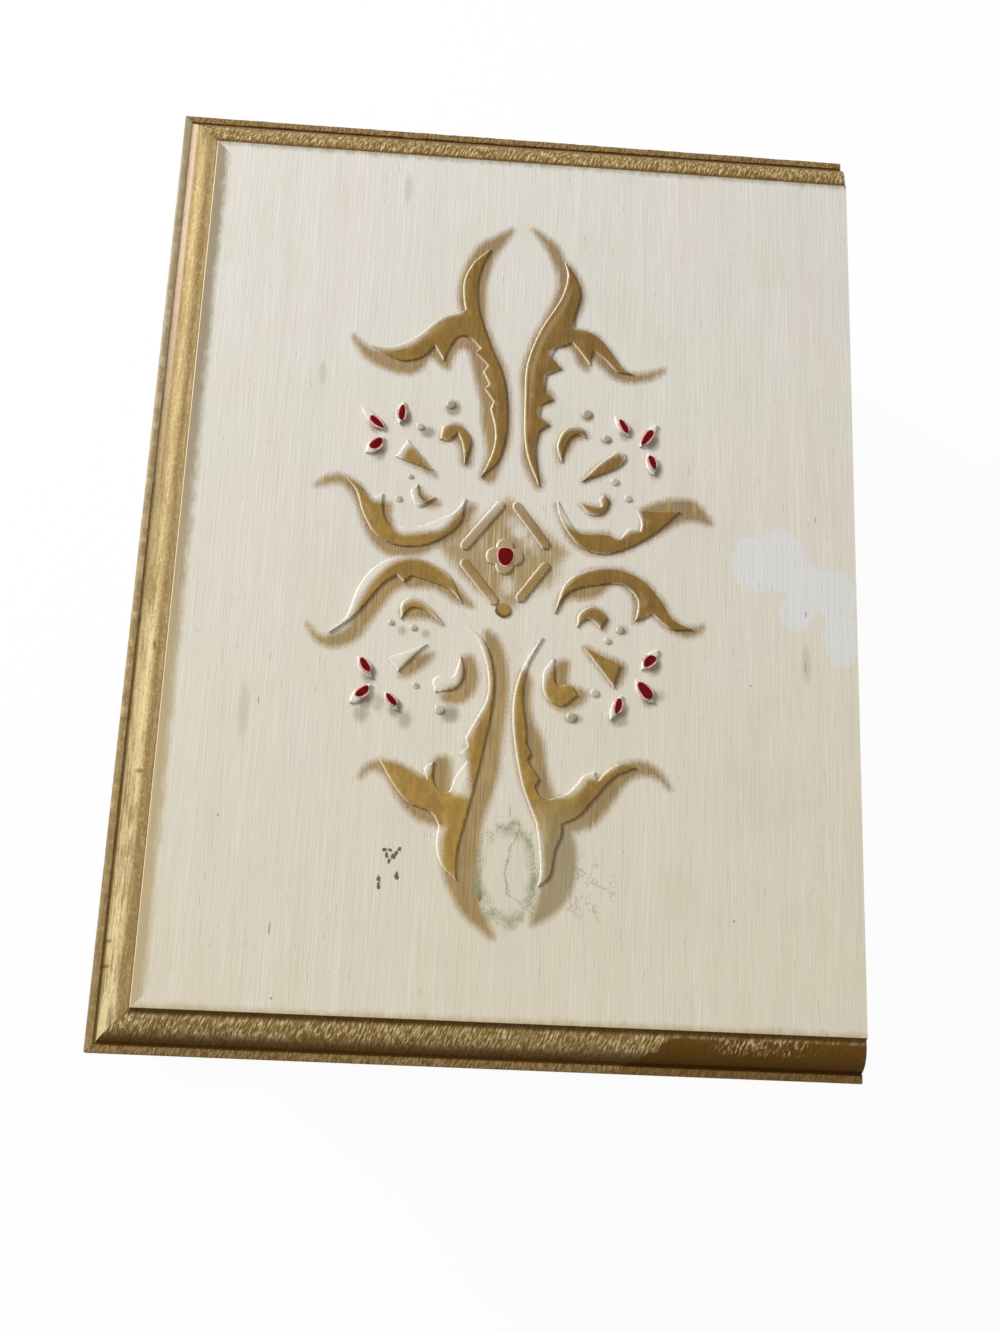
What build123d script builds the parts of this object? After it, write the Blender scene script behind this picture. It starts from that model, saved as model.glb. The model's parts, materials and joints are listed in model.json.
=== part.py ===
from build123d import *
import os
from math import asin, cos, degrees, radians, sin

# Vintage jewelry box of painted wood, in millimetres.
# +X runs to the right end, +Y to the hinged back, +Z up.
# The origin is the centre of the felt that the box stands on.

# Lid and base boards, each one board with a moulded front and ends and a square back
lid_length = 254.0
lid_depth = 186.0
lid_thickness = 13.0
base_length = 254.0
base_depth = 186.0
base_thickness = 13.0

# Moulding cut on the boards, from the flat face outwards and down
moulding_width = 10.7
step_run = 0.4
step_drop = 1.0
round_run = 7.6
round_drop = 3.9
shoulder_run_share = 0.72
shoulder_drop_share = 0.34
groove_width = 0.7
groove_depth = 0.9
lip_round = 0.5

# Carcass of four boards between lid and base
wall = 10.0
wall_height = 65.0
overhang = 11.5
corner_rabbet = 5.0
brad_radius = 0.6
brad_length = 16.0
brad_sink = 0.6
brads_per_corner = 3
base_screw_length = 30.0
base_screw_radius = 1.6
base_screw_head = 3.2
base_screw_end_inset = 30.0

# Felt under the base and linings inside
felt_thickness = 1.0
felt_inset = 3.0
floor_lining_thickness = 1.6
wall_lining_thickness = 1.0
lining_below_rim = 3.0
lining_gap = 0.2

# Dividers and the ring shelf
divider_thickness = 4.0
divider_below_rim = 19.0
divider_gap = 0.2
long_divider_y = 8.0
ring_divider_x = -8.0
front_divider_x = 52.0
back_divider_x = 18.0
shelf_thickness = 3.0
shelf_below_rim = 36.0
support_thickness = 4.0
roll_count = 5
roll_gap = 0.5
roll_seat_gap = 0.3
roll_end_round = 3.2

# Hinges at the back
seam_gap = 0.3
hinge_length = 40.0
hinge_end_inset = 44.0
leaf_width = 9.0
leaf_thickness = 0.9
knuckle_radius = 1.8
knuckle_count = 5
knuckle_gap = 0.2
knuckle_wall_gap = 0.2
pin_radius = 0.9
pin_clearance = 0.05
hinge_screw_length = 8.0
hinge_screw_radius = 1.0
hinge_screw_head = 1.9
screw_inset = 8.0

# Slotted stay that stops the lid
lid_opening_angle = 100.0
stay_floor_gap = 3.0
stay_pivot_drop = 4.0
stay_lead_angle = 12.0
stay_width = 6.4
stay_thickness = 1.2
stay_post_radius = 1.5
stay_slot_clearance = 0.1
stay_end_clearance = 0.3
stay_side_gap = 0.2
post_head_radius = 2.6
post_head_thickness = 0.8
post_collar_thickness = 0.9
post_thread_length = 8.0
rivet_radius = 1.2
rivet_clearance = 0.05
rivet_head_radius = 2.2
rivet_head_thickness = 0.6
bracket_thickness = 1.0
bracket_flange = 9.0
bracket_length = 13.0
bracket_eye_radius = 3.2
bracket_screw_spacing = 7.0
bracket_screw_length = 7.0
bracket_screw_radius = 0.9
bracket_screw_head = 1.6

# Mirror under the lid
mirror_thickness = 2.0
surround_end_margin = 15.0
surround_side_margin = 9.0
surround_border = 20.0
surround_thickness = 2.2
mirror_gap = 0.2

# Raised ornament on the lid
relief_height = 0.6
petal_height = 0.8
bar_width = 2.3
flower_lobe_radius = 2.3
flower_lobe_reach = 2.6
flower_core_radius = 1.8

# Levels and places that follow from the sizes above
base_bottom = felt_thickness
base_top = base_bottom + base_thickness
rim = base_top + wall_height
lid_bottom = rim + seam_gap
lid_top = lid_bottom + lid_thickness
back_y = lid_depth / 2
base_front_y = back_y - base_depth
box_length = lid_length - 2 * overhang
box_front_y = -lid_depth / 2 + overhang
inner_x = box_length / 2 - wall
inner_front_y = box_front_y + wall
inner_back_y = back_y - wall
floor_top = base_top + floor_lining_thickness
lined_x = inner_x - wall_lining_thickness
lined_front_y = inner_front_y + wall_lining_thickness
lined_back_y = inner_back_y - wall_lining_thickness
hinge_y = back_y + knuckle_wall_gap + knuckle_radius
hinge_z = rim + seam_gap / 2
hinge_x = box_length / 2 - hinge_end_inset
ring_front_y = lined_front_y + divider_gap
ring_back_y = long_divider_y - divider_thickness / 2 - divider_gap
roll_radius = (ring_back_y - ring_front_y - (roll_count + 1) * roll_gap) / roll_count / 2
shelf_top = rim - shelf_below_rim
divider_top = rim - divider_below_rim

# The stay is as long as the box is deep, and its post is as far from the hinge as its pivot,
# so the arm turns by half the lid's angle
stay_drop = wall_height - floor_lining_thickness - stay_floor_gap - stay_pivot_drop - stay_width
stay_radius = stay_drop / 2 / sin(radians((stay_lead_angle + lid_opening_angle) / 2))
stay_tilt = degrees(asin(stay_pivot_drop / stay_radius))


def box(x_low, x_high, y_low, y_high, z_low, z_high):
    """A block between two corners."""
    size = (x_high - x_low, y_high - y_low, z_high - z_low)
    centre = ((x_low + x_high) / 2, (y_low + y_high) / 2, (z_low + z_high) / 2)
    return Pos(*centre) * Box(*size)


def rod_x(radius, x_low, x_high, y, z):
    """A round rod along X."""
    length = x_high - x_low
    return Pos((x_low + x_high) / 2, y, z) * Rot(0, 90, 0) * Cylinder(radius, length)


def rod_y(radius, y_low, y_high, x, z):
    """A round rod along Y."""
    length = y_high - y_low
    return Pos(x, (y_low + y_high) / 2, z) * Rot(90, 0, 0) * Cylinder(radius, length)


def countersunk_screw(head_radius, shank_radius, length):
    """A screw that points down, with the top of its head at the origin."""
    head_height = head_radius - shank_radius
    head = Pos(0, 0, -head_height / 2) * Cone(shank_radius, head_radius, head_height)
    shank = Pos(0, 0, -length / 2) * Cylinder(shank_radius, length)
    return head + shank


def edge_profile(outer, top, thickness, sign):
    """Moulding outline from the crest of the flat face to the foot of the board.

    outer is the coordinate of the board's edge, and sign points outwards.
    """
    crest = outer - sign * moulding_width
    start = (crest + sign * step_run, top - step_drop)
    end = (start[0] + sign * round_run, start[1] - round_drop)
    shoulder = (
        start[0] + sign * round_run * shoulder_run_share,
        start[1] - round_drop * shoulder_drop_share,
    )
    lip = outer - sign * lip_round
    return [
        Line((crest, top), start),
        ThreePointArc(start, shoulder, end),
        Line(end, (lip, end[1])),
        Line((lip, end[1]), (outer, end[1] - lip_round)),
        Line((outer, end[1] - lip_round), (outer, top - thickness)),
    ]


def moulding_groove(length, front_y, top):
    """Groove between the rounded moulding and its lip, mitred at the front corners."""
    near = moulding_width - step_run - round_run
    far = near - groove_width
    z_high = top - step_drop - round_drop
    z_low = z_high - groove_depth
    half = length / 2
    outer = box(far - half, half - far, front_y + far, back_y, z_low, z_high)
    return outer - box(near - half, half - near, front_y + near, back_y, z_low, z_high)


def moulded_board(length, front_y, top, thickness):
    """One board, moulded along its front and both ends, square at the back."""
    bottom = top - thickness
    front = edge_profile(front_y, top, thickness, -1)
    crest_y = front_y + moulding_width
    front += [
        Line((front_y, bottom), (back_y, bottom)),
        Line((back_y, bottom), (back_y, top)),
        Line((back_y, top), (crest_y, top)),
    ]
    half = length / 2
    ends = edge_profile(half, top, thickness, 1) + edge_profile(-half, top, thickness, -1)
    ends += [
        Line((half, bottom), (-half, bottom)),
        Line((moulding_width - half, top), (half - moulding_width, top)),
    ]
    along_front = Plane(origin=(-half, 0, 0), x_dir=(0, 1, 0), z_dir=(1, 0, 0))
    along_ends = Plane(origin=(0, front_y, 0), x_dir=(-1, 0, 0), z_dir=(0, 1, 0))
    depth = back_y - front_y
    front_bar = extrude(along_front * make_face(front), length)
    ends_bar = extrude(along_ends * make_face(ends), depth)
    return (front_bar & ends_bar) - moulding_groove(length, front_y, top)


def base_screws():
    """Screws up through the base into the front, the back and both ends."""
    screw = Rot(180, 0, 0) * countersunk_screw(
        base_screw_head, base_screw_radius, base_screw_length
    )
    screw_x = box_length / 2 - base_screw_end_inset
    front_y = box_front_y + wall / 2
    end_x = box_length / 2 - wall / 2
    middle_y = (inner_front_y + inner_back_y) / 2
    spots = [(x, y) for x in (-screw_x, 0, screw_x) for y in (front_y, back_y - wall / 2)]
    spots += [(-end_x, middle_y), (end_x, middle_y)]
    return [Pos(x, y, base_bottom) * screw for x, y in spots]


def corner_brads():
    """Sunk brads through the front and back boards into the ends."""
    brads = []
    for side in (-1, 1):
        x = side * (box_length / 2 - wall / 2)
        for row in range(brads_per_corner):
            z = base_top + wall_height * (row + 0.5) / brads_per_corner
            front = box_front_y + brad_sink
            back = back_y - brad_sink
            brads.append(rod_y(brad_radius, front, front + brad_length, x, z))
            brads.append(rod_y(brad_radius, back - brad_length, back, x, z))
    return brads


def long_wall(y_low, y_high, rabbet_low, rabbet_high):
    """A front or back board, rabbeted at both ends for the end boards."""
    half = box_length / 2
    board = box(-half, half, y_low, y_high, base_top, rim)
    board -= box(-half, -inner_x, rabbet_low, rabbet_high, base_top, rim)
    board -= box(inner_x, half, rabbet_low, rabbet_high, base_top, rim)
    return board


def end_wall(x_low, x_high):
    """An end board, held in the rabbets of the front and back."""
    front = inner_front_y - corner_rabbet
    back = inner_back_y + corner_rabbet
    return box(x_low, x_high, front, back, base_top, rim)


def knuckle_span(index):
    """Where one hinge knuckle starts and ends, from the hinge's middle."""
    pitch = hinge_length / knuckle_count
    low = -hinge_length / 2 + index * pitch
    return low + knuckle_gap / 2, low + pitch - knuckle_gap / 2


def hinge_leaf(centre_x, on_lid):
    """One leaf of a butt hinge with its own knuckles."""
    z_low = lid_bottom if on_lid else rim - leaf_thickness
    z_high = z_low + leaf_thickness
    half = hinge_length / 2
    leaf = box(centre_x - half, centre_x + half, back_y - leaf_width, back_y, z_low, z_high)
    first = 1 if on_lid else 0
    for index in range(first, knuckle_count, 2):
        low, high = knuckle_span(index)
        low += centre_x
        high += centre_x
        leaf += box(low, high, back_y, hinge_y, z_low, z_high)
        leaf += rod_x(knuckle_radius, low, high, hinge_y, hinge_z)
    bore = pin_radius + (pin_clearance if on_lid else 0)
    return leaf - rod_x(bore, centre_x - half, centre_x + half, hinge_y, hinge_z)


def leaf_recess(centre_x, on_lid):
    """The shallow mortise that a leaf is let into."""
    z_low = lid_bottom if on_lid else rim - leaf_thickness
    half = hinge_length / 2
    y_low = back_y - leaf_width
    return box(centre_x - half, centre_x + half, y_low, back_y, z_low, z_low + leaf_thickness)


def hinge_screws(on_lid):
    """Three countersunk screws in each leaf of one side."""
    screw = countersunk_screw(hinge_screw_head, hinge_screw_radius, hinge_screw_length)
    level = lid_bottom if on_lid else rim
    turn = Rot(180, 0, 0) if on_lid else Rot(0, 0, 0)
    reach = hinge_length / 2 - screw_inset
    y = back_y - leaf_width / 2
    screws = []
    for centre_x in (-hinge_x, hinge_x):
        for x in (centre_x - reach, centre_x, centre_x + reach):
            screws.append(Pos(x, y, level) * turn * screw)
    return screws


# Places of the stay: its pivot on the lid, its post on the end wall, and its layers across X
pivot_y = hinge_y - stay_radius * cos(radians(stay_tilt))
pivot_z = hinge_z - stay_pivot_drop
post_angle = stay_tilt + stay_lead_angle
post_y = hinge_y - stay_radius * cos(radians(post_angle))
post_z = hinge_z - stay_radius * sin(radians(post_angle))
arm_x_high = lined_x - post_collar_thickness - stay_side_gap
arm_x_low = arm_x_high - stay_thickness
ear_x_high = arm_x_low - stay_side_gap
ear_x_low = ear_x_high - bracket_thickness
stay_lean = stay_tilt + stay_lead_angle / 2
closed_reach = 2 * stay_radius * sin(radians(stay_lead_angle / 2))
open_reach = 2 * stay_radius * sin(radians((stay_lead_angle + lid_opening_angle) / 2))


def stay_arm():
    """Slotted brass arm, drawn hanging from its eye and then leaned back to its post."""
    half = stay_width / 2
    arm_end = open_reach + stay_end_clearance + stay_post_radius + stay_slot_clearance
    sketch = Pos(0, -arm_end / 2) * Rectangle(stay_width, arm_end)
    sketch += Circle(half)
    sketch += Pos(0, -arm_end) * Circle(half)
    slot_radius = stay_post_radius + stay_slot_clearance
    slot_low = closed_reach - stay_end_clearance
    slot_high = open_reach + stay_end_clearance
    slot_middle = -(slot_low + slot_high) / 2
    sketch -= Pos(0, slot_middle) * Rectangle(2 * slot_radius, slot_high - slot_low)
    sketch -= Pos(0, -slot_low) * Circle(slot_radius)
    sketch -= Pos(0, -slot_high) * Circle(slot_radius)
    sketch -= Circle(rivet_radius + rivet_clearance)
    flat = Plane(origin=(arm_x_low, 0, 0), x_dir=(0, 1, 0), z_dir=(1, 0, 0))
    arm = extrude(flat * sketch, stay_thickness)
    return Pos(0, pivot_y, pivot_z) * Rot(stay_lean, 0, 0) * arm


def stay_rivet():
    """Rivet through the bracket's ear and the arm's eye."""
    head_low = arm_x_high + rivet_clearance
    shank = rod_x(rivet_radius, ear_x_low, head_low, pivot_y, pivot_z)
    outer = rod_x(rivet_head_radius, head_low, head_low + rivet_head_thickness, pivot_y, pivot_z)
    inner_low = ear_x_low - rivet_head_thickness
    inner = rod_x(rivet_head_radius, inner_low, ear_x_low, pivot_y, pivot_z)
    return shank + outer + inner


def stay_bracket():
    """Angle bracket under the lid that carries the stay's eye."""
    flange_z = lid_bottom - bracket_thickness
    y_low = pivot_y - bracket_length / 2
    y_high = pivot_y + bracket_length / 2
    flange = box(ear_x_high - bracket_flange, ear_x_high, y_low, y_high, flange_z, lid_bottom)
    ear_half = bracket_eye_radius
    ear = box(ear_x_low, ear_x_high, pivot_y - ear_half, pivot_y + ear_half, pivot_z, lid_bottom)
    ear += rod_x(ear_half, ear_x_low, ear_x_high, pivot_y, pivot_z)
    bracket = flange + ear
    return bracket - rod_x(rivet_radius, ear_x_low, ear_x_high, pivot_y, pivot_z)


def bracket_screws():
    """Two countersunk screws that hold the bracket to the lid."""
    screw = Rot(180, 0, 0) * countersunk_screw(
        bracket_screw_head, bracket_screw_radius, bracket_screw_length
    )
    x = ear_x_high - bracket_flange / 2 - bracket_thickness / 2
    spots = [pivot_y - bracket_screw_spacing / 2, pivot_y + bracket_screw_spacing / 2]
    return [Pos(x, y, lid_bottom - bracket_thickness) * screw for y in spots]


def stay_post():
    """Headed post on the end wall that the slot runs along."""
    head_low = arm_x_low - stay_side_gap - post_head_thickness
    head = rod_x(post_head_radius, head_low, head_low + post_head_thickness, post_y, post_z)
    collar_low = lined_x - post_collar_thickness
    shank = rod_x(stay_post_radius, head_low, collar_low, post_y, post_z)
    collar = rod_x(post_head_radius, collar_low, lined_x, post_y, post_z)
    thread = rod_x(stay_post_radius, lined_x, lined_x + post_thread_length, post_y, post_z)
    return head + shank + collar + thread


def wall_lining(x_low, x_high, y_low, y_high):
    """A lined card against one wall, from the floor lining to just under the rim."""
    return box(x_low, x_high, y_low, y_high, floor_top, rim - lining_below_rim)


def divider(x_low, x_high, y_low, y_high):
    """A lined divider that stands on the floor lining."""
    return box(x_low, x_high, y_low, y_high, floor_top, divider_top)


def ring_rolls():
    """Padded rolls side by side on the ring shelf, with slots for rings between them."""
    x_low = divider_gap - lined_x
    x_high = ring_divider_x - divider_thickness / 2 - divider_gap
    z = shelf_top + roll_seat_gap + roll_radius
    pitch = 2 * roll_radius + roll_gap
    rolls = []
    for index in range(roll_count):
        y = ring_front_y + roll_gap + roll_radius + index * pitch
        roll = rod_x(roll_radius, x_low, x_high, y, z)
        rolls.append(fillet(roll.edges().filter_by(GeomType.CIRCLE), roll_end_round))
    return rolls


def under_lid(margin, thickness):
    """A sheet under the lid, in from the edge of the surround by a margin."""
    half_x = lined_x - surround_end_margin - margin
    y_low = lined_front_y + surround_side_margin + margin
    y_high = lined_back_y - surround_side_margin - margin
    return box(-half_x, half_x, y_low, y_high, lid_bottom - thickness, lid_bottom)


def mirror_surround():
    """Padded card frame round the mirror."""
    window = under_lid(surround_border - mirror_gap, surround_thickness)
    return under_lid(0, surround_thickness) - window


def mirror():
    """Mirror glass glued to the lid inside its surround."""
    return under_lid(surround_border, mirror_thickness)


# Raised ornament. Points are (across the lid, along the lid) from the lid's centre, where
# across runs from front to back and along from the left end to the right end.
# An outline is a chain of stretches: two points make a straight line, more make a curve.


def on_lid(point):
    """A point of the ornament as X and Y of the box."""
    across, along = point
    return (along, across)


def raised(stretches, height=relief_height):
    """A raised flat piece of the ornament from its outline."""
    edges = []
    for stretch in stretches:
        spots = [on_lid(point) for point in stretch]
        edges.append(Line(*spots) if len(spots) == 2 else Spline(*spots))
    return Pos(0, 0, lid_top) * extrude(make_face(edges), height)


def corners(points):
    """Straight stretches from point to point, such as the teeth of a leaf."""
    return [points[index:index + 2] for index in range(len(points) - 1)]


def stem_left_upper():
    """Stem and toothed leaf towards the front, at the left end."""
    return raised(
        [[(-6, -88.5), (-10.3, -84.5), (-12.8, -79), (-12.9, -74), (-12.2, -69.6)]]
        + [[(-12.2, -69.6), (-18.8, -66.6), (-24.5, -61.2), (-30.5, -57.7), (-36.4, -57.2)]]
        + [[(-36.4, -57.2), (-31.5, -54.6), (-27.5, -53.5), (-23, -55), (-19.8, -58.4)]]
        + corners([(-19.8, -58.4), (-17.3, -54.3), (-15.8, -58.5)])
        + [[(-15.8, -58.5), (-13.5, -61.7), (-10.5, -61.4), (-7.8, -58.6)]]
        + corners([(-7.8, -58.6), (-9, -57.3), (-5.5, -53.7), (-6.7, -51.8), (-4.9, -48.3)])
        + corners([(-4.9, -48.3), (-6.1, -47), (-3.6, -43.3), (-4.3, -41.2)])
        + [[(-4.3, -41.2), (-2.8, -35), (-3.3, -29), (-6, -21.7)]]
        + [[(-6, -21.7), (-1.3, -27), (0.4, -36), (-0.6, -49), (-5, -60), (-8.6, -71),
            (-8.8, -80), (-6, -88.5)]]
    )


def stem_right_upper():
    """Stem and toothed leaf towards the back, at the left end."""
    return raised(
        [[(14.2, -86.3), (15.1, -81.5), (13.4, -74.7), (8.2, -65), (5, -55), (4.7, -45),
          (5, -34), (6.4, -27), (9.3, -20.2)]]
        + [[(9.3, -20.2), (8.8, -25), (8.2, -31), (8.8, -35.5)]]
        + corners([(8.8, -35.5), (11.6, -37.8), (8.8, -40), (9.2, -43.2), (12.4, -45)])
        + corners([(12.4, -45), (9.8, -47.2), (10.4, -52), (14.3, -54.2), (11.4, -57.4)])
        + [[(11.4, -57.4), (12.6, -60), (14.8, -60.9), (17, -62)]]
        + corners([(17, -62), (19.2, -59.4), (21.8, -55.8), (22.9, -60)])
        + [[(22.9, -60), (26, -57.5), (29.3, -54.3), (33.5, -53.7)]]
        + [[(33.5, -53.7), (30.3, -56.2), (25.6, -62.4), (22.4, -65.2), (17.4, -66.7)]]
        + [[(17.4, -66.7), (17.6, -70), (18.9, -76.5), (17.4, -81.5), (14.2, -86.3)]]
    )


def stem_left_lower():
    """Stem and toothed leaf towards the front, at the right end."""
    return raised(
        [[(-8, 18.4), (-4.2, 24), (-2, 31), (-2, 37.5), (-4.8, 43.5), (-7, 48)]]
        + corners([(-7, 48), (-6.3, 50), (-8.4, 52.2), (-6.4, 54), (-9.2, 58.2)])
        + [[(-9.2, 58.2), (-10.2, 61.4), (-12.4, 61.4), (-14.2, 59), (-14.4, 54.2)]]
        + [[(-14.4, 54.2), (-16.6, 56), (-15.9, 58.7)]]
        + [[(-15.9, 58.7), (-19, 56.6), (-23, 55.3), (-28.5, 53.4)]]
        + [[(-28.5, 53.4), (-24.2, 60.3), (-20, 64.8), (-14.5, 67), (-12.5, 70)]]
        + [[(-12.5, 70), (-12.8, 75), (-11.4, 79.5), (-7.6, 83.2)]]
        + [[(-7.6, 83.2), (-7.6, 76), (-5, 64), (-2.6, 52), (-0.4, 39), (-0.5, 30),
            (-3, 23), (-8, 18.4)]]
    )


def stem_right_lower():
    """Stem and toothed leaf towards the back, at the right end."""
    return raised(
        [[(11.6, 20.8), (7.6, 27), (5, 35), (4.7, 43), (6, 52), (8, 60), (11.4, 68.3)]]
        + [[(11.4, 68.3), (12.3, 74), (12.8, 80), (12.4, 83.8)]]
        + [[(12.4, 83.8), (15.4, 81), (16.4, 75), (17.9, 71), (17.9, 68.2)]]
        + [[(17.9, 68.2), (22, 66), (26.2, 61), (30.5, 56), (36, 53.2)]]
        + [[(36, 53.2), (31.6, 52.6), (28.4, 54.6), (26.4, 57.1)]]
        + corners([(26.4, 57.1), (25.7, 54.7), (23, 55.6)])
        + [[(23, 55.6), (21, 58.2), (18.8, 60.6), (15.9, 61.8)]]
        + [[(15.9, 61.8), (13.6, 62.4), (11.9, 61.2), (11, 59.4)]]
        + corners([(11, 59.4), (12, 57.3), (8.9, 52.8), (9.7, 51), (8.5, 48.6)])
        + [[(8.5, 48.6), (8.2, 44), (7.1, 37), (8, 29), (11.6, 20.8)]]
    )


def side_leaf_front_left():
    """Sweeping leaf towards the front, left of the centre."""
    return raised(
        [[(-41, -19.6), (-38, -15.8), (-36, -10), (-32.5, -4.5), (-27, -1.7), (-20, -2.1),
          (-14, -5.2), (-10.4, -9.5), (-9.6, -15.6)]]
        + [[(-9.6, -15.6), (-12.6, -11.6), (-17.5, -8.8), (-21, -7.2), (-24.6, -6.8)]]
        + [[(-24.6, -6.8), (-28, -6.6), (-30.4, -9.6), (-31, -15.6)]]
        + [[(-31, -15.6), (-34.4, -14.6), (-37.4, -17.8), (-41, -19.6)]]
    )


def side_leaf_back_left():
    """Sweeping leaf towards the back, left of the centre."""
    return raised(
        [[(14.2, -16.6), (14.8, -12.5), (17.4, -7.6), (21, -3.9), (26.5, -2.4), (33, -4.5),
          (40, -9), (46.6, -15.4)]]
        + corners([(46.6, -15.4), (35, -15)])
        + [[(35, -15), (36.2, -12), (36.1, -9.4)]]
        + [[(36.1, -9.4), (33.2, -9.8), (30.6, -6.9), (28.4, -7.6)]]
        + [[(28.4, -7.6), (24, -7.9), (19.6, -8.4), (14.2, -16.6)]]
    )


def side_leaf_front_right():
    """Sweeping leaf towards the front, right of the centre."""
    return raised(
        [[(-42.4, 22.6), (-38.4, 18), (-36, 10.5), (-32, 4.5), (-26, 1.3), (-19.5, 2),
          (-13, 5.4), (-9.3, 13)]]
        + [[(-9.3, 13), (-12.4, 9.6), (-17, 7.8), (-22.3, 6.3)]]
        + corners([(-22.3, 6.3), (-24.4, 8.2), (-26.2, 6.4)])
        + [[(-26.2, 6.4), (-30, 9.4), (-36.4, 18), (-42.4, 22.6)]]
    )


def side_leaf_back_right():
    """Sweeping leaf towards the back, right of the centre."""
    return raised(
        [[(14.4, 14.2), (16.8, 6.2), (22, 2.5), (29, 1.4), (36.8, 4), (41.5, 9.4),
          (44.6, 14), (50, 16.6)]]
        + [[(50, 16.6), (44.4, 16.8), (39.4, 13)]]
        + [[(39.4, 13), (37.4, 14.4), (35.2, 15)]]
        + [[(35.2, 15), (35.6, 9.6), (31.6, 5.6), (24, 6.3), (18, 8.6), (14.4, 14.2)]]
    )


def scrolls():
    """Comma scrolls and small hooks inside each quarter."""
    return [
        raised([
            [(-17.1, -31.8), (-16.4, -35.6), (-12.6, -36.5), (-8.8, -32), (-10.4, -25)],
            [(-10.4, -25), (-11.2, -30.4), (-12.5, -33.8)],
            [(-12.5, -33.8), (-14.6, -31.4), (-17.1, -31.8)],
        ]),
        raised([
            [(15, -27.3), (13.7, -32), (16, -37), (20.2, -37.5), (21.2, -34.6)],
            [(21.2, -34.6), (19, -35.4), (16.6, -33), (15, -27.3)],
        ]),
        raised([
            [(-15, 36.6), (-15.7, 33.6), (-13.6, 32), (-10.8, 32.2), (-9.7, 29.6), (-9, 26.7)],
            [(-9, 26.7), (-7.9, 31.4), (-9.8, 35.3), (-15, 36.6)],
        ]),
        raised([
            [(14.6, 26), (12, 30), (12.6, 36), (17, 38.5), (21, 35.4)],
            [(21, 35.4), (19, 32.8), (15.4, 32.9), (14.6, 26)],
        ]),
        raised([
            [(-22.2, -18.8), (-24, -16.4), (-21.6, -12.4), (-17.4, -15.4)],
            [(-17.4, -15.4), (-19.8, -14.6), (-21.4, -15.8), (-22.2, -18.8)],
        ]),
        raised([
            [(20.2, -16.2), (22.6, -13.2), (26.4, -13.6), (28, -17), (26.4, -19)],
            [(26.4, -19), (25.2, -17.6), (25.4, -15.4), (20.2, -16.2)],
        ]),
        raised([
            [(-24.6, 18), (-24.6, 13.8), (-21.6, 12), (-17.4, 14.2), (-13.8, 19)],
            [(-13.8, 19), (-18.4, 15.4), (-22, 15), (-24.6, 18)],
        ]),
        raised([
            [(20.2, 17.6), (20.8, 13.8), (24.6, 11.8), (28, 14.6), (26.2, 17.6)],
            [(26.2, 17.6), (23.2, 15.3), (20.2, 17.6)],
        ]),
    ]


def drops():
    """Pointed drops, one in each quarter."""
    return [
        raised(corners([(-28.3, -26), (-25.5, -31.1), (-18.3, -22.7), (-28.3, -26)])),
        raised([
            [(20.5, -22.2), (24.6, -27.2), (29.4, -31.2)],
            [(29.4, -31.2), (31.8, -30.9), (32.2, -29)],
            [(32.2, -29), (29.6, -26.4), (20.5, -22.2)],
        ]),
        raised(corners([(-27.3, 28.3), (-17.6, 24.2), (-24.4, 31.8), (-27.3, 28.3)])),
        raised(corners([(21.8, 22.7), (31.6, 27.2), (30, 33), (21.8, 22.7)])),
    ]


def beads():
    """Small round beads between the scrolls, each with its radius."""
    spots = [
        (-14.8, -41.8, 1.2), (-22.5, -35, 1.0), (-24.3, -20.9, 0.7), (-27, -14.5, 0.9),
        (21.5, -41.5, 1.3), (26.8, -34.8, 1.1), (29.2, -22.8, 1.1), (32.8, -18.3, 1.0),
        (-27, 19, 0.8), (-21.3, 20, 0.9), (-20, 35, 0.8), (-13.7, 41, 1.2),
        (31.3, 17.7, 1.0), (28.2, 20.7, 0.9), (25.2, 34.6, 1.1), (19.4, 41.2, 1.3),
    ]
    beads_made = []
    for across, along, radius in spots:
        x, y = on_lid((across, along))
        bead = Pos(x, y, lid_top + relief_height / 2) * Cylinder(radius, relief_height)
        beads_made.append(bead)
    return beads_made


def petals():
    """Red petals: two pointed ends and a width each."""
    spots = [
        ((-38.2, -39.8), (-32, -33.2), 2.6), ((-27.1, -41.8), (-27.9, -35.3), 2.8),
        ((-36.1, -26.6), (-31.7, -31.2), 3.6), ((28.8, -41.4), (32.8, -35.7), 2.6),
        ((35.7, -32.9), (40.2, -39.6), 2.8), ((37.9, -31.4), (39.6, -25.2), 2.8),
        ((-34.8, 28.2), (-30.9, 34), 2.7), ((-36, 40.5), (-31, 35.5), 3.2),
        ((-27.6, 37), (-23.9, 42), 2.5), ((41.2, 22.4), (36.9, 28), 3.0),
        ((35.8, 31.1), (39.9, 36.2), 4.0), ((32, 34.9), (29.3, 41.4), 2.6),
    ]
    petals_made = []
    for tip, heel, width in spots:
        start = Vector(*on_lid(tip))
        end = Vector(*on_lid(heel))
        side = (end - start).normalized().cross(Vector(0, 0, 1)) * (width / 2)
        middle = (start + end) / 2
        sides = [ThreePointArc(start, middle + side, end), ThreePointArc(end, middle - side, start)]
        petals_made.append(Pos(0, 0, lid_top) * extrude(make_face(sides), petal_height))
    return petals_made


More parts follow.
